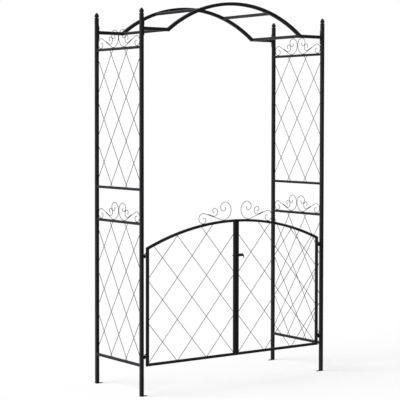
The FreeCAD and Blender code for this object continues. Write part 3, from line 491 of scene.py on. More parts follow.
def finish_named(slot):
    """The material of each slot of the record."""
    paint = settings().paint
    # Name, colour, roughness, and the size and height of the orange peel in metres.
    finishes = {
        "frame_paint": ("powder_coat_tube", paint.coat, paint.coat_gloss, 0.0016, 0.00005),
        "lattice_wire": ("powder_coat_wire", paint.coat, paint.coat_gloss, 0.0011, 0.00004),
        "scroll_wire": ("powder_coat_scroll", paint.coat, paint.coat_gloss, 0.0011, 0.00004),
        "fittings": ("fitting_paint", paint.fitting, paint.fitting_gloss, 0.0012, 0.00004),
        "finial": ("finial_plastic", paint.plastic, paint.plastic_gloss, 0.0008, 0.00002),
        "fastener": ("black_plating", paint.plating, paint.plating_gloss, 0.0005, 0.00001, 1.0,
                     paint.worn_and_highlit_plating),
        "sleeve": ("sleeve_paint", paint.coat, paint.sleeve_gloss, 0.0016, 0.00005),
    }
    return coated(*finishes[slot])


def centre_of(node):
    """The middle of a CAD node's box."""
    low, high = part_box(node)
    return (low + high) / 2


def corners_of(points):
    """The low and the high corner of the box around an array of points."""
    return Vector(points.min(0)), Vector(points.max(0))


def joint_named(name):
    """One of the frame's joints."""
    return next(joint for joint in frame["joints"] if joint["name"] == name)


def show(piece):
    """Put a piece into the scene."""
    bpy.context.scene.collection.objects.link(piece)
    return piece


def solid(name, vertices, faces):
    """A mesh object with its faces turned outwards."""
    mesh = bpy.data.meshes.new(name)
    mesh.from_pydata([tuple(vertex) for vertex in vertices], [], faces)
    sheet = bmesh.new()
    sheet.from_mesh(mesh)
    bmesh.ops.remove_doubles(sheet, verts=sheet.verts, dist=SAME_POINT)
    bmesh.ops.recalc_face_normals(sheet, faces=sheet.faces)
    sheet.to_mesh(mesh)
    sheet.free()
    return show(bpy.data.objects.new(name, mesh))


def finish(piece, body, slot, nodes=(), crease=TUBE_CREASE):
    """Smooth a piece, give it its material, and hang it on its body in place of CAD nodes."""
    mesh = piece.data
    mesh.materials.clear()
    mesh.materials.append(finish_named(slot))
    mesh.polygons.foreach_set("material_index", [0] * len(mesh.polygons))
    mesh.polygons.foreach_set("use_smooth", [True] * len(mesh.polygons))
    mesh.set_sharp_from_angle(angle=math.radians(crease))
    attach(piece, body)
    if nodes:
        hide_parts(*nodes)


def settle(piece):
    """Turn a piece's modifiers into its plain mesh."""
    graph = bpy.context.evaluated_depsgraph_get()
    before = piece.data
    piece.data = bpy.data.meshes.new_from_object(piece.evaluated_get(graph), depsgraph=graph)
    piece.modifiers.clear()
    bpy.data.meshes.remove(before)
    return piece


def ease(piece, radius, segments, crease=TUBE_CREASE):
    """Round a piece's sharp edges."""
    bevel = piece.modifiers.new("edges", "BEVEL")
    bevel.width = radius
    bevel.segments = segments
    bevel.limit_method = "ANGLE"
    bevel.angle_limit = math.radians(crease)
    return settle(piece)


def cut_away(piece, cutter):
    """Take a cutter's shape out of a piece."""
    cut = piece.modifiers.new("cut", "BOOLEAN")
    cut.operation = "DIFFERENCE"
    cut.solver = "EXACT"
    cut.object = cutter
    settle(piece)
    bpy.data.objects.remove(cutter)


def joined(name, pieces):
    """Several finished shapes as one piece."""
    sheet = bmesh.new()
    for piece in pieces:
        sheet.from_mesh(piece.data)
        bpy.data.objects.remove(piece)
    mesh = bpy.data.meshes.new(name)
    sheet.to_mesh(mesh)
    sheet.free()
    return show(bpy.data.objects.new(name, mesh))


def islands(node):
    """The points of each separate solid of a CAD node, as arrays in a fixed order."""
    sheet = bmesh.new()
    sheet.from_mesh(frame["nodes"][node].data)
    bmesh.ops.remove_doubles(sheet, verts=sheet.verts, dist=SAME_CAD_POINT)
    found = []
    waiting = set(sheet.verts)
    while waiting:
        group = [waiting.pop()]
        for vertex in group:
            for edge in vertex.link_edges:
                other = edge.other_vert(vertex)
                if other in waiting:
                    waiting.remove(other)
                    group.append(other)
        found.append(np.array(sorted(vertex.co[:] for vertex in group)))
    sheet.free()
    return sorted(found, key=lambda points: tuple(points.mean(0).round(4)))


def box_ring(side, radius):
    """Points around the outside of a square tube with rounded corners, as (across, up)."""
    flat = side / 2 - radius
    ring = []
    for quarter in range(4):
        middle = math.pi / 2 * (quarter + 0.5)
        for step in range(CORNER_STEPS + 1):
            turn = math.pi / 2 * (quarter + step / CORNER_STEPS)
            ring.append((
                math.copysign(flat, math.cos(middle)) + radius * math.cos(turn),
                math.copysign(flat, math.sin(middle)) + radius * math.sin(turn)))
    return ring


def ring_at(ring, station, across, cut=None):
    """A ring of (across, up) points set square to a station, or moved along it onto a cutting plane."""
    point, ahead = station
    up = ahead.cross(across)
    placed = [point + across * right + up * high for right, high in ring]
    if cut:
        onto, normal = cut
        placed = [spot + ahead * ((onto - spot).dot(normal) / ahead.dot(normal)) for spot in placed]
    return placed


def tube(name, line, across, side, cuts=(None, None)):
    """A square tube along a line of (point, direction) stations, and its outlines at both ends."""
    tubes = settings().tubes
    outer = box_ring(side, tubes.corner)
    bore = side / 2 - tubes.wall
    inner = [(bore, bore), (-bore, bore), (-bore, -bore), (bore, -bore)]
    shrink = 1 - 2 * tubes.eased / side
    eased = [(right * shrink, high * shrink) for right, high in outer]
    stations = []
    for number, (station, cut) in enumerate(zip((line[0], line[-1]), cuts)):
        if cut is None:
            point, ahead = station
            inwards = ahead * (tubes.eased if number == 0 else -tubes.eased)
            pair = [(station, eased, None), ((point + inwards, ahead), outer, None)]
            stations.append(pair if number == 0 else pair[::-1])
        else:
            stations.append([(station, outer, cut)])
    path = stations[0] + [(station, outer, None) for station in line[1:-1]] + stations[1]

    vertices = []
    faces = []
    around = len(outer)
    count = around + len(inner)
    for number, (station, ring, cut) in enumerate(path):
        vertices += ring_at(ring, station, across, cut) + ring_at(inner, station, across, cut)
        if number == 0:
            continue
        here = number * count
        back = here - count
        for first, size in ((0, around), (around, len(inner))):
            for step in range(size):
                onward = (step + 1) % size
                faces.append((back + first + step, back + first + onward,
                              here + first + onward, here + first + step))
    for base in (0, (len(path) - 1) * count):
        for quarter in range(4):
            corner = [base + quarter * (CORNER_STEPS + 1) + step for step in range(CORNER_STEPS + 1)]
            following = base + (quarter + 1) % 4 * (CORNER_STEPS + 1)
            within = base + around + quarter
            faces.append((within, *corner))
            faces.append((within, corner[-1], following, base + around + (quarter + 1) % 4))
    ends = [ring_at(outer, line[0], across, cuts[0]), ring_at(outer, line[-1], across, cuts[1])]
    return solid(name, vertices, faces), ends


def add_tube(node, body, line, across, side, cuts=(None, None), bit=None):
    """Put a tube in place of a CAD node, bored if there is a bit, and return its outlines for the welds."""
    piece, ends = tube(node + "_tube", line, across, side, cuts)
    if bit:
        cut_away(piece, bit)
    finish(piece, body, "frame_paint", [node])
    return ends


def straight(start, end):
    """The two stations of a straight line."""
    ahead = (end - start).normalized()
    return [(start, ahead), (end, ahead)]


def centre_line(node, axis):
    """The stations of a straight node's centre line, along the axis of that name."""
    low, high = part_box(node)
    number = "xyz".index(axis)
    start = centre_of(node)
    end = start.copy()
    start[number] = low[number]
    end[number] = high[number]
    return straight(start, end)


def arc(radius, centre_z, y, start, end):
    """Stations along an arc about the gateway's middle, from one angle off the top to another."""
    line = []
    way = math.copysign(1, end - start)
    for step in range(ARC_STATIONS + 1):
        turn = start + (end - start) * step / ARC_STATIONS
        point = Vector((radius * math.sin(turn), y, centre_z + radius * math.cos(turn)))
        line.append((point, Vector((way * math.cos(turn), 0, -way * math.sin(turn)))))
    return line


def flipped(vector, sign):
    """A vector, or its image on the left."""
    return Vector((sign * vector.x, vector.y, vector.z))


def flipped_line(line, sign):
    """A line of stations, or its image on the left."""
    return [(flipped(point, sign), flipped(ahead, sign)) for point, ahead in line]


def mitre(line_in, line_out):
    """The plane between the end of one line and the start of the next."""
    return line_out[0][0], (line_in[-1][1] + line_out[0][1]).normalized()


def arch_shape():
    """An arch's corner, as x and z, and the radius, height of the centre and end slope of its bow."""
    rise = settings().tubes.arch_rise
    corner_z = centre_of("front_left_arch_bar").z
    corner_x = centre_of("right_outer_cross_bar").x
    radius = (corner_x ** 2 + rise ** 2) / (2 * rise)
    return corner_x, corner_z, radius, corner_z + rise - radius, math.asin(corner_x / radius)


def gate_shape():
    """Radius, height of the centre and outer slope of the arc of the gate's top rails."""
    tubes = settings().tubes
    stile_x = centre_of("right_leaf_hinge_stile").x
    rise = tubes.gate_middle - tubes.gate_side
    radius = (stile_x ** 2 + rise ** 2) / (2 * rise)
    return radius, tubes.gate_middle - radius, math.asin(stile_x / radius)


def new_shape_tree(name, measures):
    """An empty node tree that makes a shape of one material on lines or points."""
    inputs = {
        "Geometry": ("NodeSocketGeometry", None),
        **measures,
        "Material": ("NodeSocketMaterial", None),
    }
    return new_tree(name, "GeometryNodeTree", inputs, {"Geometry": "NodeSocketGeometry"})


def put_out(tree, given, result, shape):
    """End a node tree: its instances made real, and its material set."""
    whole = place(tree, "GeometryNodeRealizeInstances", {"Geometry": shape})
    painted = place(tree, "GeometryNodeSetMaterial", {
        "Geometry": whole.outputs["Geometry"], "Material": given["Material"]})
    tree.links.new(painted.outputs["Geometry"], result.inputs["Geometry"])
    return tree


def carried(tree, title, kind="FLOAT"):
    """What the points carry under a title."""
    attribute = place(tree, "GeometryNodeInputNamedAttribute", {"Name": title}, data_type=kind)
    return attribute.outputs["Attribute"]


def turned_to_flow(tree):
    """The turn that points an instance's Z along the flow at its point."""
    flow = carried(tree, "flow", "FLOAT_VECTOR")
    return place(tree, "FunctionNodeAlignRotationToVector", {"Vector": flow}, axis="Z").outputs["Rotation"]


def weld_bead_tree(name):
    """A rippled bead along closed lines."""
    tree, given, result = new_shape_tree(name, {
        "Radius": ("NodeSocketFloat", 0.0016),
        "Spacing": ("NodeSocketFloat", 0.0020),
        "Ripple": ("NodeSocketFloat", 0.4),
    })
    lines = place(tree, "GeometryNodeMeshToCurve", {"Mesh": given["Geometry"]})
    dotted = place(tree, "GeometryNodeResampleCurve", {
        "Curve": lines.outputs["Curve"], "Length": given["Spacing"]}, mode="LENGTH")
    unevenness = place(tree, "ShaderNodeTexNoise", {"Scale": BEAD_NOISE, "Detail": 1.0}).outputs["Fac"]
    offset = maths(tree, "SUBTRACT", unevenness, 0.5)
    swell = maths(tree, "ADD", maths(tree, "MULTIPLY", offset, given["Ripple"]), 1.0)
    profile = place(tree, "GeometryNodeCurvePrimitiveCircle", {
        "Resolution": BEAD_FACES, "Radius": given["Radius"]})
    swept = place(tree, "GeometryNodeCurveToMesh", {
        "Curve": dotted.outputs["Curve"], "Profile Curve": profile.outputs["Curve"],
        "Scale": maths(tree, "MULTIPLY", swell, carried(tree, "thickness"))})
    return put_out(tree, given, result, swept.outputs["Mesh"])


def bent_wire_tree(name):
    """Round wires along lines, with weld spots on the loose points."""
    tree, given, result = new_shape_tree(name, {
        "Radius": ("NodeSocketFloat", 0.0015),
        "Faces": ("NodeSocketInt", 12),
        "Spot Radius": ("NodeSocketFloat", 0.0021),
    })
    lines = place(tree, "GeometryNodeMeshToCurve", {"Mesh": given["Geometry"]})
    profile = place(tree, "GeometryNodeCurvePrimitiveCircle", {
        "Resolution": given["Faces"], "Radius": given["Radius"]})
    wire = place(tree, "GeometryNodeCurveToMesh", {
        "Curve": lines.outputs["Curve"], "Profile Curve": profile.outputs["Curve"],
        "Scale": carried(tree, "thickness"), "Fill Caps": True})
    spot_size = carried(tree, "spot")
    is_spot = place(tree, "FunctionNodeCompare", {"A": spot_size, "B": 0.0},
                    data_type="FLOAT", operation="GREATER_THAN")
    points = place(tree, "GeometryNodeMeshToPoints", {
        "Mesh": given["Geometry"], "Selection": is_spot.outputs["Result"]})
    ball = place(tree, "GeometryNodeMeshUVSphere", {
        "Segments": SPOT_SEGMENTS, "Rings": SPOT_RINGS, "Radius": given["Spot Radius"]})
    stretch = place(tree, "ShaderNodeCombineXYZ", {
        "X": spot_size, "Y": spot_size, "Z": maths(tree, "MULTIPLY", spot_size, SPOT_STRETCH)})
    spots = place(tree, "GeometryNodeInstanceOnPoints", {
        "Points": points.outputs["Points"], "Instance": ball.outputs["Mesh"],
        "Rotation": turned_to_flow(tree), "Scale": stretch.outputs["Vector"]})
    both = place(tree, "GeometryNodeJoinGeometry", {"Geometry": wire.outputs["Mesh"]})
    tree.links.new(spots.outputs["Instances"], both.inputs["Geometry"])
    return put_out(tree, given, result, both.outputs["Geometry"])


def bolt_heads_tree(name):
    """A hexagon head with a washer face and a shank on every point, turned to the flow there."""
    tree, given, result = new_shape_tree(name, {
        "Head Radius": ("NodeSocketFloat", 0.0057),
        "Head Height": ("NodeSocketFloat", 0.004),
        "Washer": ("NodeSocketFloat", 0.0006),
        "Chamfer": ("NodeSocketFloat", 0.0008),
        "Shank Radius": ("NodeSocketFloat", 0.003),
        "Shank Length": ("NodeSocketFloat", 0.012),
    })
    washer, chamfer, corners = given["Washer"], given["Chamfer"], given["Head Radius"]
    shank = given["Shank Length"]
    hexagon = maths(tree, "SUBTRACT", given["Head Height"], maths(tree, "ADD", washer, chamfer))
    washer_radius = maths(tree, "MULTIPLY", corners, WASHER_SHARE)
    top_radius = maths(tree, "MULTIPLY", corners, CHAMFER_SHARE)
    layers = [
        ("Cylinder", {"Vertices": BOLT_FACES, "Radius": washer_radius, "Depth": washer},
         maths(tree, "MULTIPLY", washer, 0.5)),
        ("Cylinder", {"Vertices": HEXAGON, "Radius": corners, "Depth": hexagon},
         maths(tree, "ADD", washer, maths(tree, "MULTIPLY", hexagon, 0.5))),
        ("Cylinder", {"Vertices": BOLT_FACES, "Radius": given["Shank Radius"], "Depth": shank},
         maths(tree, "MULTIPLY", shank, -0.5)),
        ("Cone", {"Vertices": HEXAGON, "Radius Top": top_radius, "Radius Bottom": corners, "Depth": chamfer},
         maths(tree, "SUBTRACT", given["Head Height"], chamfer)),
    ]
    parts = place(tree, "GeometryNodeJoinGeometry")
    for kind, measures, height in layers:
        shape = place(tree, "GeometryNodeMesh" + kind, measures)
        lift = place(tree, "ShaderNodeCombineXYZ", {"Z": height})
        moved = place(tree, "GeometryNodeTransform", {
            "Geometry": shape.outputs["Mesh"], "Translation": lift.outputs["Vector"]})
        tree.links.new(moved.outputs["Geometry"], parts.inputs["Geometry"])
    heads = place(tree, "GeometryNodeInstanceOnPoints", {
        "Points": place(tree, "GeometryNodeMeshToPoints", {"Mesh": given["Geometry"]}).outputs["Points"],
        "Instance": parts.outputs["Geometry"], "Rotation": turned_to_flow(tree)})
    return put_out(tree, given, result, heads.outputs["Instances"])


def grown(name, tree_name, lines, spots=(), **given):
    """Run a node tree over lines of (point, thickness) and spots of (point, size, flow), as a plain mesh."""
    tree = shared_tree(tree_name)
    points = []
    edges = []
    thickness = []
    for line, closed in lines:
        first = len(points)
        points += [point for point, thick in line]
        thickness += [thick for point, thick in line]
        edges += [(first + step, first + step + 1) for step in range(len(line) - 1)]
        if closed:
            edges.append((len(points) - 1, first))
    plain = len(points)
    points += [point for point, size, flow in spots]
    mesh = bpy.data.meshes.new(name + "_lines")
    mesh.from_pydata([tuple(point) for point in points], edges, [])
    layers = {
        "thickness": ("FLOAT", "value", thickness + [1.0] * len(spots)),
        "spot": ("FLOAT", "value", [0.0] * plain + [size for point, size, flow in spots]),
        "flow": ("FLOAT_VECTOR", "vector",
                 [0.0] * (3 * plain) + [part for point, size, flow in spots for part in flow]),
    }
    for title, (kind, field, values) in layers.items():
        mesh.attributes.new(title, kind, "POINT").data.foreach_set(field, values)
    piece = show(bpy.data.objects.new(name, mesh))
    modifier = piece.modifiers.new(tree.name, "NODES")
    modifier.node_group = tree
    for item in tree.interface.items_tree:
        title = item.name.replace(" ", "_")
        if item.in_out == "INPUT" and title in given:
            modifier[item.identifier] = given[title]
    settle(piece)
    for title in layers:
        if title in piece.data.attributes:
            piece.data.attributes.remove(piece.data.attributes[title])
    return piece


def beads(name, body, loops):
    """Weld beads along closed outlines, each with its share of the full radius."""
    welds = settings().welds
    lines = [([(point, size) for point in loop], True) for loop, size in loops]
    piece = grown(name, "weld_bead", lines, Radius=welds.bead, Spacing=welds.spacing,
                  Ripple=welds.ripple, Material=finish_named("frame_paint"))
    finish(piece, body, "frame_paint", crease=BEAD_CREASE)


def wires(name, body, slot, node, lines, spots, radius):
    """Round wires along lines of points in place of a CAD node, with rounded ends and weld spots."""
    ending = radius * END_ROUNDING
    rounded = []
    for line in lines:
        first = line[0] + (line[1] - line[0]).normalized() * ending
        last = line[-1] + (line[-2] - line[-1]).normalized() * ending
        inner = [(point, 1.0) for point in (first, *line[1:-1], last)]
        rounded.append(([(line[0], END_THICKNESS), *inner, (line[-1], END_THICKNESS)], False))
    piece = grown(name, "bent_wire", rounded, spots, Radius=radius, Faces=settings().wires.faces,
                  Spot_Radius=settings().welds.spot, Material=finish_named(slot))
    finish(piece, body, slot, [node], crease=ROD_CREASE)


def lathe(name, outlines, ring=False):
    """A shape through outlines of (radius, height) that stand evenly around Z.

    A ring's outlines are closed, and the others begin and end on the axis.
    """
    vertices = []
    faces = []
    steps = len(outlines)
    count = len(outlines[0])
    for step, outline in enumerate(outlines):
        turn = 2 * math.pi * step / steps
        vertices += [Vector((radius * math.cos(turn), radius * math.sin(turn), height))
                     for radius, height in outline]
        here = step * count
        onward = (step + 1) % steps * count
        for number in range(count if ring else count - 1):
            following = (number + 1) % count
            faces.append((here + number, onward + number, onward + following, here + following))
    return solid(name, vertices, faces)


def bush(name, outer, inner, low, high, edge):
    """A bush about Z with chamfered edges."""
    outline = [
        (inner + edge / 2, low), (outer - edge, low), (outer, low + edge), (outer, high - edge),
        (outer - edge, high), (inner + edge / 2, high), (inner, high - edge / 2), (inner, low + edge / 2),
    ]
    return lathe(name, [outline] * ROUND_STEPS, ring=True)


def lay_along_x(piece, x, y, z):
    """Turn a shape from Z to X and put its start at a point."""
    piece.data.transform(Matrix.Translation((x, y, z)) @ Matrix.Rotation(math.pi / 2, 4, "Y"))


def circle(centre, radius):
    """A ring of points around a rod that lies along X, for its weld."""
    side = ACROSS_X.orthogonal().normalized()
    return [centre + Matrix.Rotation(2 * math.pi * step / WELD_STEPS, 3, ACROSS_X) @ side * radius
            for step in range(WELD_STEPS)]


def cuboid(name, low, high, radius):
    """A block with rounded edges."""
    corners = [Vector((x, y, z)) for x in (low.x, high.x) for y in (low.y, high.y) for z in (low.z, high.z)]
    piece = solid(name, corners, [(0, 1, 3, 2), (4, 6, 7, 5), (0, 4, 5, 1), (2, 3, 7, 6), (0, 2, 6, 4),
                                  (1, 5, 7, 3)])
    return ease(piece, radius, BLOCK_SEGMENTS)


def turned(arm, degrees):
    """A vector of the XZ plane, turned to the left as seen from the front."""
    return Matrix.Rotation(-math.radians(degrees), 3, "Y") @ arm


def bends(start, heading, moves):
    """Points in the XZ plane along straights (length, 0) and bends (radius, degrees, left is positive)."""
    points = [start]
    for size, turn in moves:
        point = points[-1]
        ahead = turned(ACROSS_X, heading)
        if turn == 0:
            points.append(point + ahead * size)
            continue
        centre = point + turned(ahead, math.copysign(90, turn)) * size
        chords = math.ceil(abs(turn) / CHORD_DEGREES)
        points += [centre + turned(point - centre, turn * (step + 1) / chords) for step in range(chords)]
        heading += turn
    return points


def bent_rod(x, z, out_x, foot_z, bend):
    """Points of a rod that runs level from (x, z), bends down at out_x and ends at foot_z."""
    moves = [(out_x - x - bend, 0), (bend, -90), (z - bend - foot_z, 0)]
    return bends(Vector((x, 0, z)), 0, moves)


def straight_to_seat(centre, heading, radius, seat_radius):
    """How far a bend must be carried along a heading until it rests on its seat.

    The seat is the level line z = 0 where seat_radius is 0, or else the circle whose top is at the origin.
    """
    ahead = turned(ACROSS_X, heading)
    if seat_radius == 0:
        return (radius - centre.z) / ahead.z
    arm = centre + UPWARDS * seat_radius
    along = arm.dot(ahead)
    return -along + math.sqrt(along ** 2 - arm.length_squared + (seat_radius + radius) ** 2)


def scroll_lines(foot, lean, slope, branch_start, widest, seat_radius=0):
    """The two wires and the weld spots of half a scroll, as seen from the front and outwards along +X."""
    measures = settings().wires
    radius = measures.radius
    inner = bends(foot, 180 + lean, [(part * widest, -turn) for part, turn in LARGE_CURL])
    rise = [(FOOT_BEND * widest, slope)]
    curl = [(part * widest, -turn) for part, turn in END_CURL]

    heading = lean + slope - sum(turn for part, turn in END_CURL[:BENDS_BEFORE_REST])
    point = bends(foot, lean, rise + curl[:BENDS_BEFORE_REST])[-1]
    resting = END_CURL[BENDS_BEFORE_REST][0] * widest
    centre = point + turned(ACROSS_X * resting, heading - 90)
    run = straight_to_seat(centre, lean + slope, resting, seat_radius)
    outer = bends(foot, lean, rise + [(run, 0)] + curl)

    along = turned(ACROSS_X, lean + slope)
    side = turned(ACROSS_X, lean + slope + 90)
    beside = side * (2 * radius + measures.weld_gap)
    start = min(branch_start, run - measures.tail)
    straight_foot = bends(foot, lean, rise)[-1]
    tail_end = straight_foot + along * (start + measures.tail) + beside
    moves = [(measures.tail, 0)] + [(part * widest, -turn) for part, turn in SMALL_CURL]
    small = bends(tail_end, lean + slope + 180, moves)

    rest = centre + along * run
    away = (rest + UPWARDS * seat_radius).normalized() if seat_radius else UPWARDS
    spots = [
        (foot - turned(UPWARDS, lean) * radius, 1.0, turned(ACROSS_X, lean)),
        (rest - away * (resting + radius), 1.0, turned(ACROSS_X, lean)),
    ]
    for part in BRANCH_SPOTS:
        between = straight_foot + along * (start + part * measures.tail) + beside / 2
        spots.append((between, SPOT_AT_BRANCH, along))
    return [inner[:0:-1] + outer, small], spots


def curl_for(width, slope):
    """The widest bend of a scroll on a level rail that is as wide as its bay, and where its foot stands."""
    radius = settings().wires.radius
    widest = width / 4
    for _ in range(CURL_TRIES):
        across = [point.x for point in scroll_lines(Vector(), 0, slope, 0, widest)[0][0]]
        widest *= width / (max(across) - min(across) + 2 * radius)
    return widest, radius - min(across)


class StageOperator(bpy.types.Operator):
    """Set up the camera, the pale floor, the backdrop and the soft lights"""
    bl_idname = "garden_arch.set_stage"
    bl_label = "Stage"

    def execute(self, context):
        stage = settings().stage
        self.add_camera(context, stage)
        self.add_floor(stage)
        self.add_world(context, stage)
        self.add_light(stage)
        context.scene.view_settings.view_transform = "Standard"
        return {"FINISHED"}

    def add_camera(self, context, stage):
        """The camera of the reference view."""
        camera = bpy.data.cameras.new("camera")
        camera.lens = stage.lens
        camera.shift_y = stage.shift
        camera.clip_end = FAR_END
        stand = show(bpy.data.objects.new("camera", camera))
        stand.location = stage.camera_place
        turn = Matrix.Rotation(-stage.yaw, 4, "Z") @ Matrix.Rotation(math.pi / 2 + stage.pitch, 4, "X")
        stand.rotation_euler = (turn @ Matrix.Rotation(stage.roll, 4, "Z")).to_euler()
        context.scene.camera = stand

    def add_floor(self, stage):
        """A pale floor that looks white, apart from the object's shadow, and is clear from below."""
        half = stage.floor_size / 2
        corners = [(-half, -half), (half, -half), (half, half), (-half, half)]
        floor = solid("floor", [(x, y, FLOOR_HEIGHT) for x, y in corners], [(0, 1, 2, 3)])
        material = bpy.data.materials.new("pale_floor")
        material.use_nodes = True
        tree = material.node_tree
        tree.nodes.clear()
        lit = stage.ambient + stage.key_light * Vector(stage.key_from).normalized().z
        shade = stage.floor_shade
        matt = place(tree, "ShaderNodeBsdfDiffuse", {"Color": (shade, shade, shade, 1)})
        lift = place(tree, "ShaderNodeEmission", {
            "Color": (*stage.backdrop, 1),
            "Strength": maths(tree, "MULTIPLY", self.seen(tree), max(0.0, 1 - shade * lit))})
        both = place(tree, "ShaderNodeAddShader", {0: matt.outputs[0], 1: lift.outputs[0]})
        from_below = place(tree, "ShaderNodeNewGeometry").outputs["Backfacing"]
        clear = place(tree, "ShaderNodeBsdfTransparent")
        shown = place(tree, "ShaderNodeMixShader", {0: from_below, 1: both.outputs[0], 2: clear.outputs[0]})
        place(tree, "ShaderNodeOutputMaterial", {"Surface": shown.outputs[0]})
        floor.data.materials.append(material)

    def seen(self, tree):
        """1 where the camera looks, directly or by way of gloss or glass, and 0 elsewhere."""
        path = place(tree, "ShaderNodeLightPath").outputs
        mirrored = maths(tree, "MAXIMUM", path["Is Glossy Ray"], path["Is Transmission Ray"])
        return maths(tree, "MAXIMUM", path["Is Camera Ray"], mirrored)

    def add_world(self, context, stage):
        """Even light all around, and a white backdrop behind it."""
        world = bpy.data.worlds.new("studio")
        world.use_nodes = True
        tree = world.node_tree
        tree.nodes.clear()
        strength = ranged(tree, self.seen(tree), (0.0, 1.0), (stage.ambient, 1.0))
        light = place(tree, "ShaderNodeBackground", {"Color": (*stage.backdrop, 1), "Strength": strength})
        place(tree, "ShaderNodeOutputWorld", {"Surface": light.outputs[0]})
        context.scene.world = world

    def add_light(self, stage):
        """A broad, soft light that falls evenly on the object and the whole floor."""
        lamp = bpy.data.lights.new("key_light", "SUN")
        lamp.energy = stage.key_light * math.pi
        lamp.angle = stage.softness
        stand = show(bpy.data.objects.new("key_light", lamp))
        stand.rotation_euler = (-Vector(stage.key_from)).to_track_quat("-Z", "Y").to_euler()


class PostsOperator(bpy.types.Operator):
    """Add the posts in two halves, and the rails of the side panels with their welds"""
    bl_idname = "garden_arch.add_posts"
    bl_label = "Posts and Rails"

    def execute(self, context):
        tubes = settings().tubes
        for end in ENDS:
            for side, _ in SIDES:
                for half in HALVES:
                    node = f"{end}_{side}_{half}_post"
                    add_tube(node, "frame", centre_line(node, "z"), ACROSS_X, tubes.post)
        loops = []
        for side, _ in SIDES:
            for half in HALVES:
                for edge in ("bottom", "top"):
                    node = f"{side}_{half}_{edge}_rail"
                    outlines = add_tube(node, "frame", centre_line(node, "y"), ACROSS_X, tubes.rail)
                    loops += [(outline, 1.0) for outline in outlines]
        beads("side_rail_welds", "frame", loops)
        return {"FINISHED"}


class FootPlatesOperator(bpy.types.Operator):
    """Add the foot plates with their peg holes, welded under the posts"""
    bl_idname = "garden_arch.add_foot_plates"
    bl_label = "Foot Plates"

    def execute(self, context):
        tubes = settings().tubes
        add_plate("foot_plates")
        outline = box_ring(tubes.post, tubes.corner)
        loops = []
        for end in ENDS:
            for side, _ in SIDES:
                base = centre_line(f"{end}_{side}_lower_post", "z")[0]
                loops.append((ring_at(outline, base, ACROSS_X), 1.0))
        beads("foot_plate_welds", "frame", loops)
        return {"FINISHED"}


def add_plate(node):
    """A flat piece of the frame with its edges rounded."""
    mesh = frame["nodes"][node].data.copy()
    sheet = bmesh.new()
    sheet.from_mesh(mesh)
    bmesh.ops.remove_doubles(sheet, verts=sheet.verts, dist=SAME_POINT)
    bmesh.ops.dissolve_limit(sheet, angle_limit=math.radians(FLAT_DEGREES), verts=sheet.verts,
                             edges=sheet.edges)
    sheet.to_mesh(mesh)
    sheet.free()
    piece = show(bpy.data.objects.new(node + "_rounded", mesh))
    ease(piece, settings().tubes.plate_edge, PLATE_SEGMENTS, PLATE_CREASE)
    finish(piece, "frame", "frame_paint", [node])


class ArchesOperator(bpy.types.Operator):
    """Add the bows, their end bars, the cross bars between them and the plates that they are bolted by"""
    bl_idname = "garden_arch.add_arches"
    bl_label = "Arches"

    def execute(self, context):
        tubes = settings().tubes
        corner_x, corner_z, radius, centre_z, slope = arch_shape()
        loops = []
        for end in ENDS:
            y = centre_of(f"{end}_arch_bow").y
            bow = arc(radius, centre_z, y, -slope, slope)
            bars = {}
            for side, sign in SIDES:
                plate_x = max(abs(corner.x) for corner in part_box(f"{end}_{side}_arch_bar"))
                bar = straight(Vector((corner_x, y, corner_z)), Vector((plate_x, y, corner_z)))
                bars[side] = flipped_line(bar, sign)
            onto, normal = mitre(bow, bars["right"])
            cuts = {side: (flipped(onto, sign), flipped(normal, sign)) for side, sign in SIDES}
            outlines = add_tube(f"{end}_arch_bow", "frame", bow, ACROSS_Y, tubes.post,
                                (cuts["left"], cuts["right"]))
            loops += [(outline, settings().welds.mitre_share) for outline in outlines]
            for side, bar in bars.items():
                outlines = add_tube(f"{end}_{side}_arch_bar", "frame", bar, ACROSS_Y, tubes.post,
                                    (cuts[side], None))
                loops.append((outlines[1], 1.0))
        for side, sign in SIDES:
            for spot in ("outer", "inner"):
                node = f"{side}_{spot}_cross_bar"
                lean = slope / 2 if spot == "outer" else math.asin(abs(centre_of(node).x) / radius)
                across = Vector((math.cos(lean), 0, -sign * math.sin(lean)))
                outlines = add_tube(node, "frame", centre_line(node, "y"), across, tubes.rail)
                loops += [(outline, 1.0) for outline in outlines]
        beads("arch_welds", "frame", loops)
        add_plate("arch_end_plates")
        return {"FINISHED"}


class BoltsOperator(bpy.types.Operator):
    """Add the bolts of the arches, and finish the nuts and sleeves inside the posts"""
    bl_idname = "garden_arch.add_bolts"
    bl_label = "Bolts"

    def execute(self, context):
        fittings = settings().fittings
        seat = self.plate_face()
        spots = []
        for points in islands("arch_bolts"):
            low, high = corners_of(points)
            middle = (low + high) / 2
            sign = math.copysign(1, middle.x)
            near, far = sorted((abs(low.x), abs(high.x)))
            spots.append((Vector((sign * seat, middle.y, middle.z)), 1.0, Vector((-sign, 0, 0))))
        over_corners = (high.z - low.z) / math.cos(math.pi / HEXAGON)
        piece = grown("arch_bolt_heads", "bolt_heads", [], spots,
                      Head_Radius=over_corners / 2, Head_Height=seat - near, Washer=fittings.washer,
                      Chamfer=fittings.chamfer, Shank_Radius=fittings.bolt_shank, Shank_Length=far - seat,
                      Material=finish_named("fastener"))
        finish(piece, "frame", "fastener", ["arch_bolts"])
        for node, slot in (("weld_nuts", "fastener"), ("joint_sleeves", "sleeve")):
            for item in frame["nodes"][node].material_slots:
                item.material = finish_named(slot)
        return {"FINISHED"}

    def plate_face(self):
        """How far from the middle the arches' end plates begin, where the heads sit."""
        return min(float(np.abs(points[:, 0]).min()) for points in islands("arch_end_plates"))


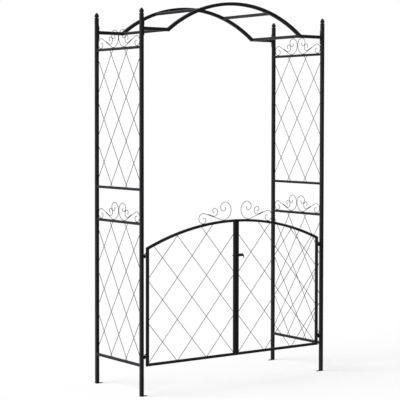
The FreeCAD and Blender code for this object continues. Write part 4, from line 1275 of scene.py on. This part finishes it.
class GateFramesOperator(bpy.types.Operator):
    """Add the mitred frames of both gate leaves, with their welds"""
    bl_idname = "garden_arch.add_gate_frames"
    bl_label = "Gate Frames"

    def execute(self, context):
        radius, centre_z, slope = gate_shape()
        y = centre_of("right_leaf_bottom_rail").y
        low_z = centre_of("right_leaf_bottom_rail").z
        hinge_x = centre_of("right_leaf_hinge_stile").x
        meeting_x = centre_of("right_leaf_meeting_stile").x
        top = arc(radius, centre_z, y, slope, math.asin(meeting_x / radius))
        corners = [Vector((meeting_x, y, low_z)), Vector((hinge_x, y, low_z)), top[0][0], top[-1][0]]
        path = [
            ("bottom_rail", straight(corners[0], corners[1])),
            ("hinge_stile", straight(corners[1], corners[2])),
            ("top_rail", top),
            ("meeting_stile", straight(corners[3], corners[0])),
        ]
        for side, sign in SIDES:
            leaf = side + "_leaf"
            lines = [(name, flipped_line(line, sign)) for name, line in path]
            loops = []
            for number, (name, line) in enumerate(lines):
                before = lines[number - 1][1]
                after = lines[(number + 1) % len(lines)][1]
                bit = self.latch_bit(side) if name == "meeting_stile" else None
                outlines = add_tube(f"{leaf}_{name}", leaf, line, ACROSS_Y, settings().tubes.rail,
                                    (mitre(before, line), mitre(line, after)), bit)
                loops.append((outlines[1], settings().welds.mitre_share))
            beads(leaf + "_frame_welds", leaf, loops)
        return {"FINISHED"}

    def latch_bit(self, side):
        """What a meeting stile is bored with, for the latch bolt or for the keeper's bush."""
        fittings = settings().fittings
        middle = centre_of("latch_keeper")
        reach = 2 * settings().tubes.rail
        if side == "left":
            low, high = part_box("latch_keeper")
            start, radius = -reach, (high.z - low.z) / 2 + fittings.play
        else:
            start, radius = 0, latch_bore()
        bit = lathe("bit", [[(0, 0), (radius, 0), (radius, reach), (0, reach)]] * ROUND_STEPS)
        lay_along_x(bit, start, middle.y, middle.z)
        return bit


class LatticesOperator(bpy.types.Operator):
    """Add the diamond lattices of the side panels and of the gate leaves"""
    bl_idname = "garden_arch.add_lattices"
    bl_label = "Lattices"

    def execute(self, context):
        measures = settings().wires
        panels = [(f"{side}_{half}_lattice", "frame") for side, _ in SIDES for half in HALVES]
        panels += [(f"{side}_leaf_lattice", side + "_leaf") for side, _ in SIDES]
        for node, body in panels:
            lines = [self.wire_line(points) for points in islands(node)]
            spots = self.crossings(lines)
            longer = []
            for start, end in lines:
                ahead = (end - start).normalized()
                spots += [(start, SPOT_AT_END, ahead), (end, SPOT_AT_END, ahead)]
                longer.append((start - ahead * measures.sunk, end + ahead * measures.sunk))
            wires(node + "_wires", body, "lattice_wire", node, longer, spots, measures.radius)
        return {"FINISHED"}

    def wire_line(self, points):
        """The two ends of a straight wire, on its centre line."""
        middle = points.mean(0)
        along = np.linalg.svd(points - middle)[2][0]
        reach = (points - middle) @ along
        return [Vector(points[reach < 0].mean(0)), Vector(points[reach > 0].mean(0))]

    def crossings(self, lines):
        """A weld spot wherever two wires of a lattice touch."""
        radius = settings().wires.radius
        spots = []
        for number, (start, end) in enumerate(lines):
            ahead = end - start
            for other_start, other_end in lines[:number]:
                other = other_end - other_start
                square = ahead.cross(other)
                if square.length < PARALLEL:
                    continue
                apart = other_start - start
                share_here = apart.cross(other).dot(square) / square.length_squared
                share_there = apart.cross(ahead).dot(square) / square.length_squared
                if 0 < share_here < 1 and 0 < share_there < 1:
                    here = start + ahead * share_here
                    there = other_start + other * share_there
                    if (here - there).length < TOUCHING * radius:
                        flow = (here - there).normalized().orthogonal()
                        spots.append(((here + there) / 2, SPOT_AT_CROSSING, flow))
        return spots


class ScrollsOperator(bpy.types.Operator):
    """Add the bent-wire scrolls above the side panels and on the gate"""
    bl_idname = "garden_arch.add_scrolls"
    bl_label = "Scrolls"

    def execute(self, context):
        measures = settings().wires
        tubes = settings().tubes
        lift = measures.radius + measures.weld_gap
        slope = math.degrees(measures.side_slope)
        for half in HALVES:
            for side, _ in SIDES:
                node = f"{side}_{half}_scroll"
                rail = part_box(f"{side}_{half}_top_rail")[1]
                widest, foot_x = curl_for(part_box(node)[1].y - measures.weld_gap, slope)
                foot = Vector((foot_x + measures.weld_gap, 0, 0))
                lines, spots = scroll_lines(foot, 0, slope, measures.side_branch, widest)
                origin = Vector((centre_of(node).x, 0, rail.z + lift))
                self.add(node, "frame", lines, spots, origin, (ACROSS_Y, -ACROSS_Y))
        seat = gate_shape()[0] + tubes.rail / 2 + lift
        for side, sign in SIDES:
            node = side + "_leaf_scroll"
            inner = min(abs(corner.x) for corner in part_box(node))
            foot_x = inner + measures.gate_curl + measures.radius
            foot = Vector((foot_x, 0, math.sqrt(seat ** 2 - foot_x ** 2) - seat))
            lean = -math.degrees(math.asin(foot_x / seat))
            lines, spots = scroll_lines(foot, lean, math.degrees(measures.gate_slope), measures.gate_branch,
                                        measures.gate_curl, seat)
            origin = Vector((0, centre_of(node).y, tubes.gate_middle + tubes.rail / 2 + lift))
            self.add(node, side + "_leaf", lines, spots, origin, (ACROSS_X * sign,))
        return {"FINISHED"}

    def add(self, node, body, half_lines, half_spots, origin, ways):
        """One piece from half a scroll, which runs out from the origin each of these ways."""
        lines = []
        spots = []
        for way in ways:
            lines += [[origin + self.run_out(point, way) for point in line] for line in half_lines]
            spots += [(origin + self.run_out(point, way), size, self.run_out(flow, way))
                      for point, size, flow in half_spots]
        wires(node + "_wires", body, "scroll_wire", node, lines, spots, settings().wires.radius)

    def run_out(self, vector, way):
        """A vector of the XZ plane, with its X laid along another way."""
        return way * vector.x + UPWARDS * vector.z


class FinialsOperator(bpy.types.Operator):
    """Add the finials: a bud in a cup of petals on a square collar"""
    bl_idname = "garden_arch.add_finials"
    bl_label = "Finials"

    def execute(self, context):
        fittings = settings().fittings
        half = fittings.collar / 2
        collar_top = FINIAL_OUTLINE[0][1]
        pieces = []
        for end in ENDS:
            for side, _ in SIDES:
                top = centre_line(f"{end}_{side}_upper_post", "z")[1][0]
                pieces.append(cuboid("collar", top + Vector((-half, -half, 0)),
                                     top + Vector((half, half, collar_top)), fittings.collar_edge))
                bud = self.bud(fittings.petals)
                bud.data.transform(Matrix.Translation(top))
                pieces.append(bud)
        finish(joined("finial_buds", pieces), "frame", "finial", ["finials"], crease=FINIAL_CREASE)
        return {"FINISHED"}

    def bud(self, petals):
        """The turned outline, swollen into petals."""
        outlines = []
        steps = petals * PETAL_STEPS
        for step in range(steps):
            turn = 2 * math.pi * step / steps
            petal = abs(math.cos(petals * turn / 2)) ** PETAL_FULLNESS * 2 - 1
            outlines.append([(radius + swell * petal if radius else 0.0, height + rise * petal)
                             for radius, height, swell, rise in FINIAL_OUTLINE])
        return lathe("bud", outlines)


class HingesOperator(bpy.types.Operator):
    """Add the hinge eyes on the front posts and the bent pins of the leaves"""
    bl_idname = "garden_arch.add_hinges"
    bl_label = "Hinges"

    def execute(self, context):
        for side, sign in SIDES:
            axis = Vector(joint_named(side + "_gate_swing")["pos_m"])
            self.add_eyes(side, sign, axis)
            self.add_pins(side, sign, axis)
        return {"FINISHED"}

    def add_eyes(self, side, sign, axis):
        """Rings on short webs that are welded to the post."""
        fittings = settings().fittings
        half_web = fittings.eye_web / 2
        ease_by = fittings.edge / 2
        node = side + "_hinge_eyes"
        eyes = []
        welds = []
        for points in islands(node):
            low, high = corners_of(points)
            ring = bush("eye", fittings.eye, fittings.pin + fittings.play, low.z, high.z, fittings.edge)
            ring.data.transform(Matrix.Translation((axis.x, axis.y, 0)))
            post_x = max(abs(low.x), abs(high.x))
            start = abs(axis.x) + (fittings.eye + fittings.pin) / 2
            near, far = sorted((sign * start, sign * post_x))
            web = cuboid("web", Vector((near, axis.y - half_web, low.z + ease_by)),
                         Vector((far, axis.y + half_web, high.z - ease_by)), ease_by)
            eyes += [ring, web]
            station = (Vector((sign * post_x, axis.y, (low.z + high.z) / 2)), ACROSS_X)
            outline = [(across * fittings.eye_web, up * (high.z - low.z))
                       for across, up in box_ring(1.0, EYE_WELD_CORNER)]
            welds.append((ring_at(outline, station, ACROSS_Y), 1.0))
        finish(joined(node[:-1] + "_rings", eyes), "frame", "fittings", [node])
        beads(node[:-1] + "_welds", "frame", welds)

    def add_pins(self, side, sign, axis):
        """Rods that leave the stile level, bend down and pass through the eyes."""
        fittings = settings().fittings
        leaf = side + "_leaf"
        node = side + "_hinge_pins"
        lines = []
        welds = []
        for points in islands(node):
            low, high = corners_of(points)
            stile_x = min(abs(low.x), abs(high.x))
            top = self.start_height(points, stile_x)
            line = bent_rod(stile_x, top, abs(axis.x), low.z, fittings.pin_bend)
            lines.append([flipped(point, sign) + ACROSS_Y * axis.y for point in line])
            welds.append((circle(Vector((sign * stile_x, axis.y, top)), fittings.pin), 1.0))
        wires(node + "_rods", leaf, "fittings", node, lines, [], fittings.pin)
        beads(node[:-1] + "_welds", leaf, welds)

    def start_height(self, points, near_x):
        """The height of a rod's centre where it leaves the stile."""
        start = points[np.abs(np.abs(points[:, 0]) - near_x) < SAME_FACE]
        return float(start[:, 2].min() + start[:, 2].max()) / 2


def latch_bore():
    """The radius of the bores that the latch bolt slides in."""
    fittings = settings().fittings
    return fittings.bolt_rod + 2 * fittings.play


class LatchOperator(bpy.types.Operator):
    """Add the slotted barrel, the sliding bolt and the keeper bush"""
    bl_idname = "garden_arch.add_latch"
    bl_label = "Latch"

    def execute(self, context):
        edge = settings().fittings.edge
        middle = centre_of("latch_barrel")

        barrel, barrel_radius = self.bush_along_x("latch_barrel", "latch_barrel_tube", middle, edge)
        self.cut_slot(barrel, middle)
        finish(barrel, "right_leaf", "fittings", ["latch_barrel"])
        keeper, keeper_radius = self.bush_along_x("latch_keeper", "latch_keeper_bush", middle, edge / 2)
        finish(keeper, "left_leaf", "fittings", ["latch_keeper"])

        start = Vector((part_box("latch_barrel")[0].x, middle.y, middle.z))
        rim = circle(start, min(barrel_radius, settings().tubes.rail / 2))
        beads("latch_barrel_weld", "right_leaf", [(rim, BEAD_AT_BARREL)])
        start = Vector((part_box("left_leaf_meeting_stile")[0].x, middle.y, middle.z))
        beads("latch_keeper_weld", "left_leaf", [(circle(start, keeper_radius), BEAD_AT_KEEPER)])

        self.add_bolt(middle)
        return {"FINISHED"}

    def bush_along_x(self, node, name, middle, edge):
        """A bush as large as a CAD node, and its outer radius."""
        low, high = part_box(node)
        around = (high.z - low.z) / 2
        piece = bush(name, around, latch_bore(), 0, high.x - low.x, edge)
        lay_along_x(piece, low.x, middle.y, middle.z)
        return piece, around

    def cut_slot(self, barrel, middle):
        """Open the barrel underneath, where the bolt's handle travels."""
        clearance = 0.001
        overrun = 0.01
        corner = 0.0002
        fittings = settings().fittings
        low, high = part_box("latch_barrel")
        slot_half = fittings.bolt_rod + fittings.slot_play
        travel = joint_named("latch_slide")["range_m"][1]
        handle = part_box("latch_bolt")[1].x - fittings.bolt_rod
        start = handle - fittings.bolt_bend - travel - clearance
        cutter = cuboid("cutter", Vector((start, middle.y - slot_half, low.z - overrun)),
                        Vector((high.x + overrun, middle.y + slot_half, middle.z)), corner)
        cut_away(barrel, cutter)

    def add_bolt(self, middle):
        """The bent rod that slides in the barrel."""
        fittings = settings().fittings
        low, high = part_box("latch_bolt")
        handle = high.x - fittings.bolt_rod
        line = bent_rod(low.x, middle.z, handle, low.z, fittings.bolt_bend)
        placed = [point + ACROSS_Y * middle.y for point in line]
        wires("latch_bolt_rod", "latch_bolt", "fittings", "latch_bolt", [placed], [], fittings.bolt_rod)


class GardenArchPanel(bpy.types.Panel):
    """The garden arch in the 3D view's sidebar"""
    bl_idname = "VIEW3D_PT_garden_arch"
    bl_label = "Garden Arch"
    bl_space_type = "VIEW_3D"
    bl_region_type = "UI"
    bl_category = "Garden Arch"

    def draw(self, context):
        for operator in OPERATORS:
            self.layout.operator(operator.bl_idname)
        for title in GardenArchSettings.__annotations__:
            group = getattr(settings(), title)
            box = self.layout.box()
            box.label(text=title.capitalize())
            for name in group.__annotations__:
                box.prop(group, name)


GROUPS = (GardenArchTubes, GardenArchWelds, GardenArchWires, GardenArchFittings, GardenArchPaint,
          GardenArchStage, GardenArchSettings)
OPERATORS = (StageOperator, PostsOperator, FootPlatesOperator, ArchesOperator, BoltsOperator,
             GateFramesOperator, LatticesOperator, ScrollsOperator, FinialsOperator, HingesOperator,
             LatchOperator)


def register():
    """Add the classes and the settings to this session."""
    for item in (*GROUPS, *OPERATORS, GardenArchPanel):
        bpy.utils.register_class(item)
    bpy.types.Scene.garden_arch = PointerProperty(type=GardenArchSettings)


def unregister():
    """Take them away again."""
    del bpy.types.Scene.garden_arch
    for item in reversed((*GROUPS, *OPERATORS, GardenArchPanel)):
        bpy.utils.unregister_class(item)


def main():
    """Build every piece and the stage."""
    register()
    for name in ("Cube", "Light"):
        found = bpy.data.objects.get(name)
        if found:
            bpy.data.objects.remove(found)
    for operator in OPERATORS:
        group, name = operator.bl_idname.split(".")
        getattr(getattr(bpy.ops, group), name)()


if __name__ == "__main__":
    main()
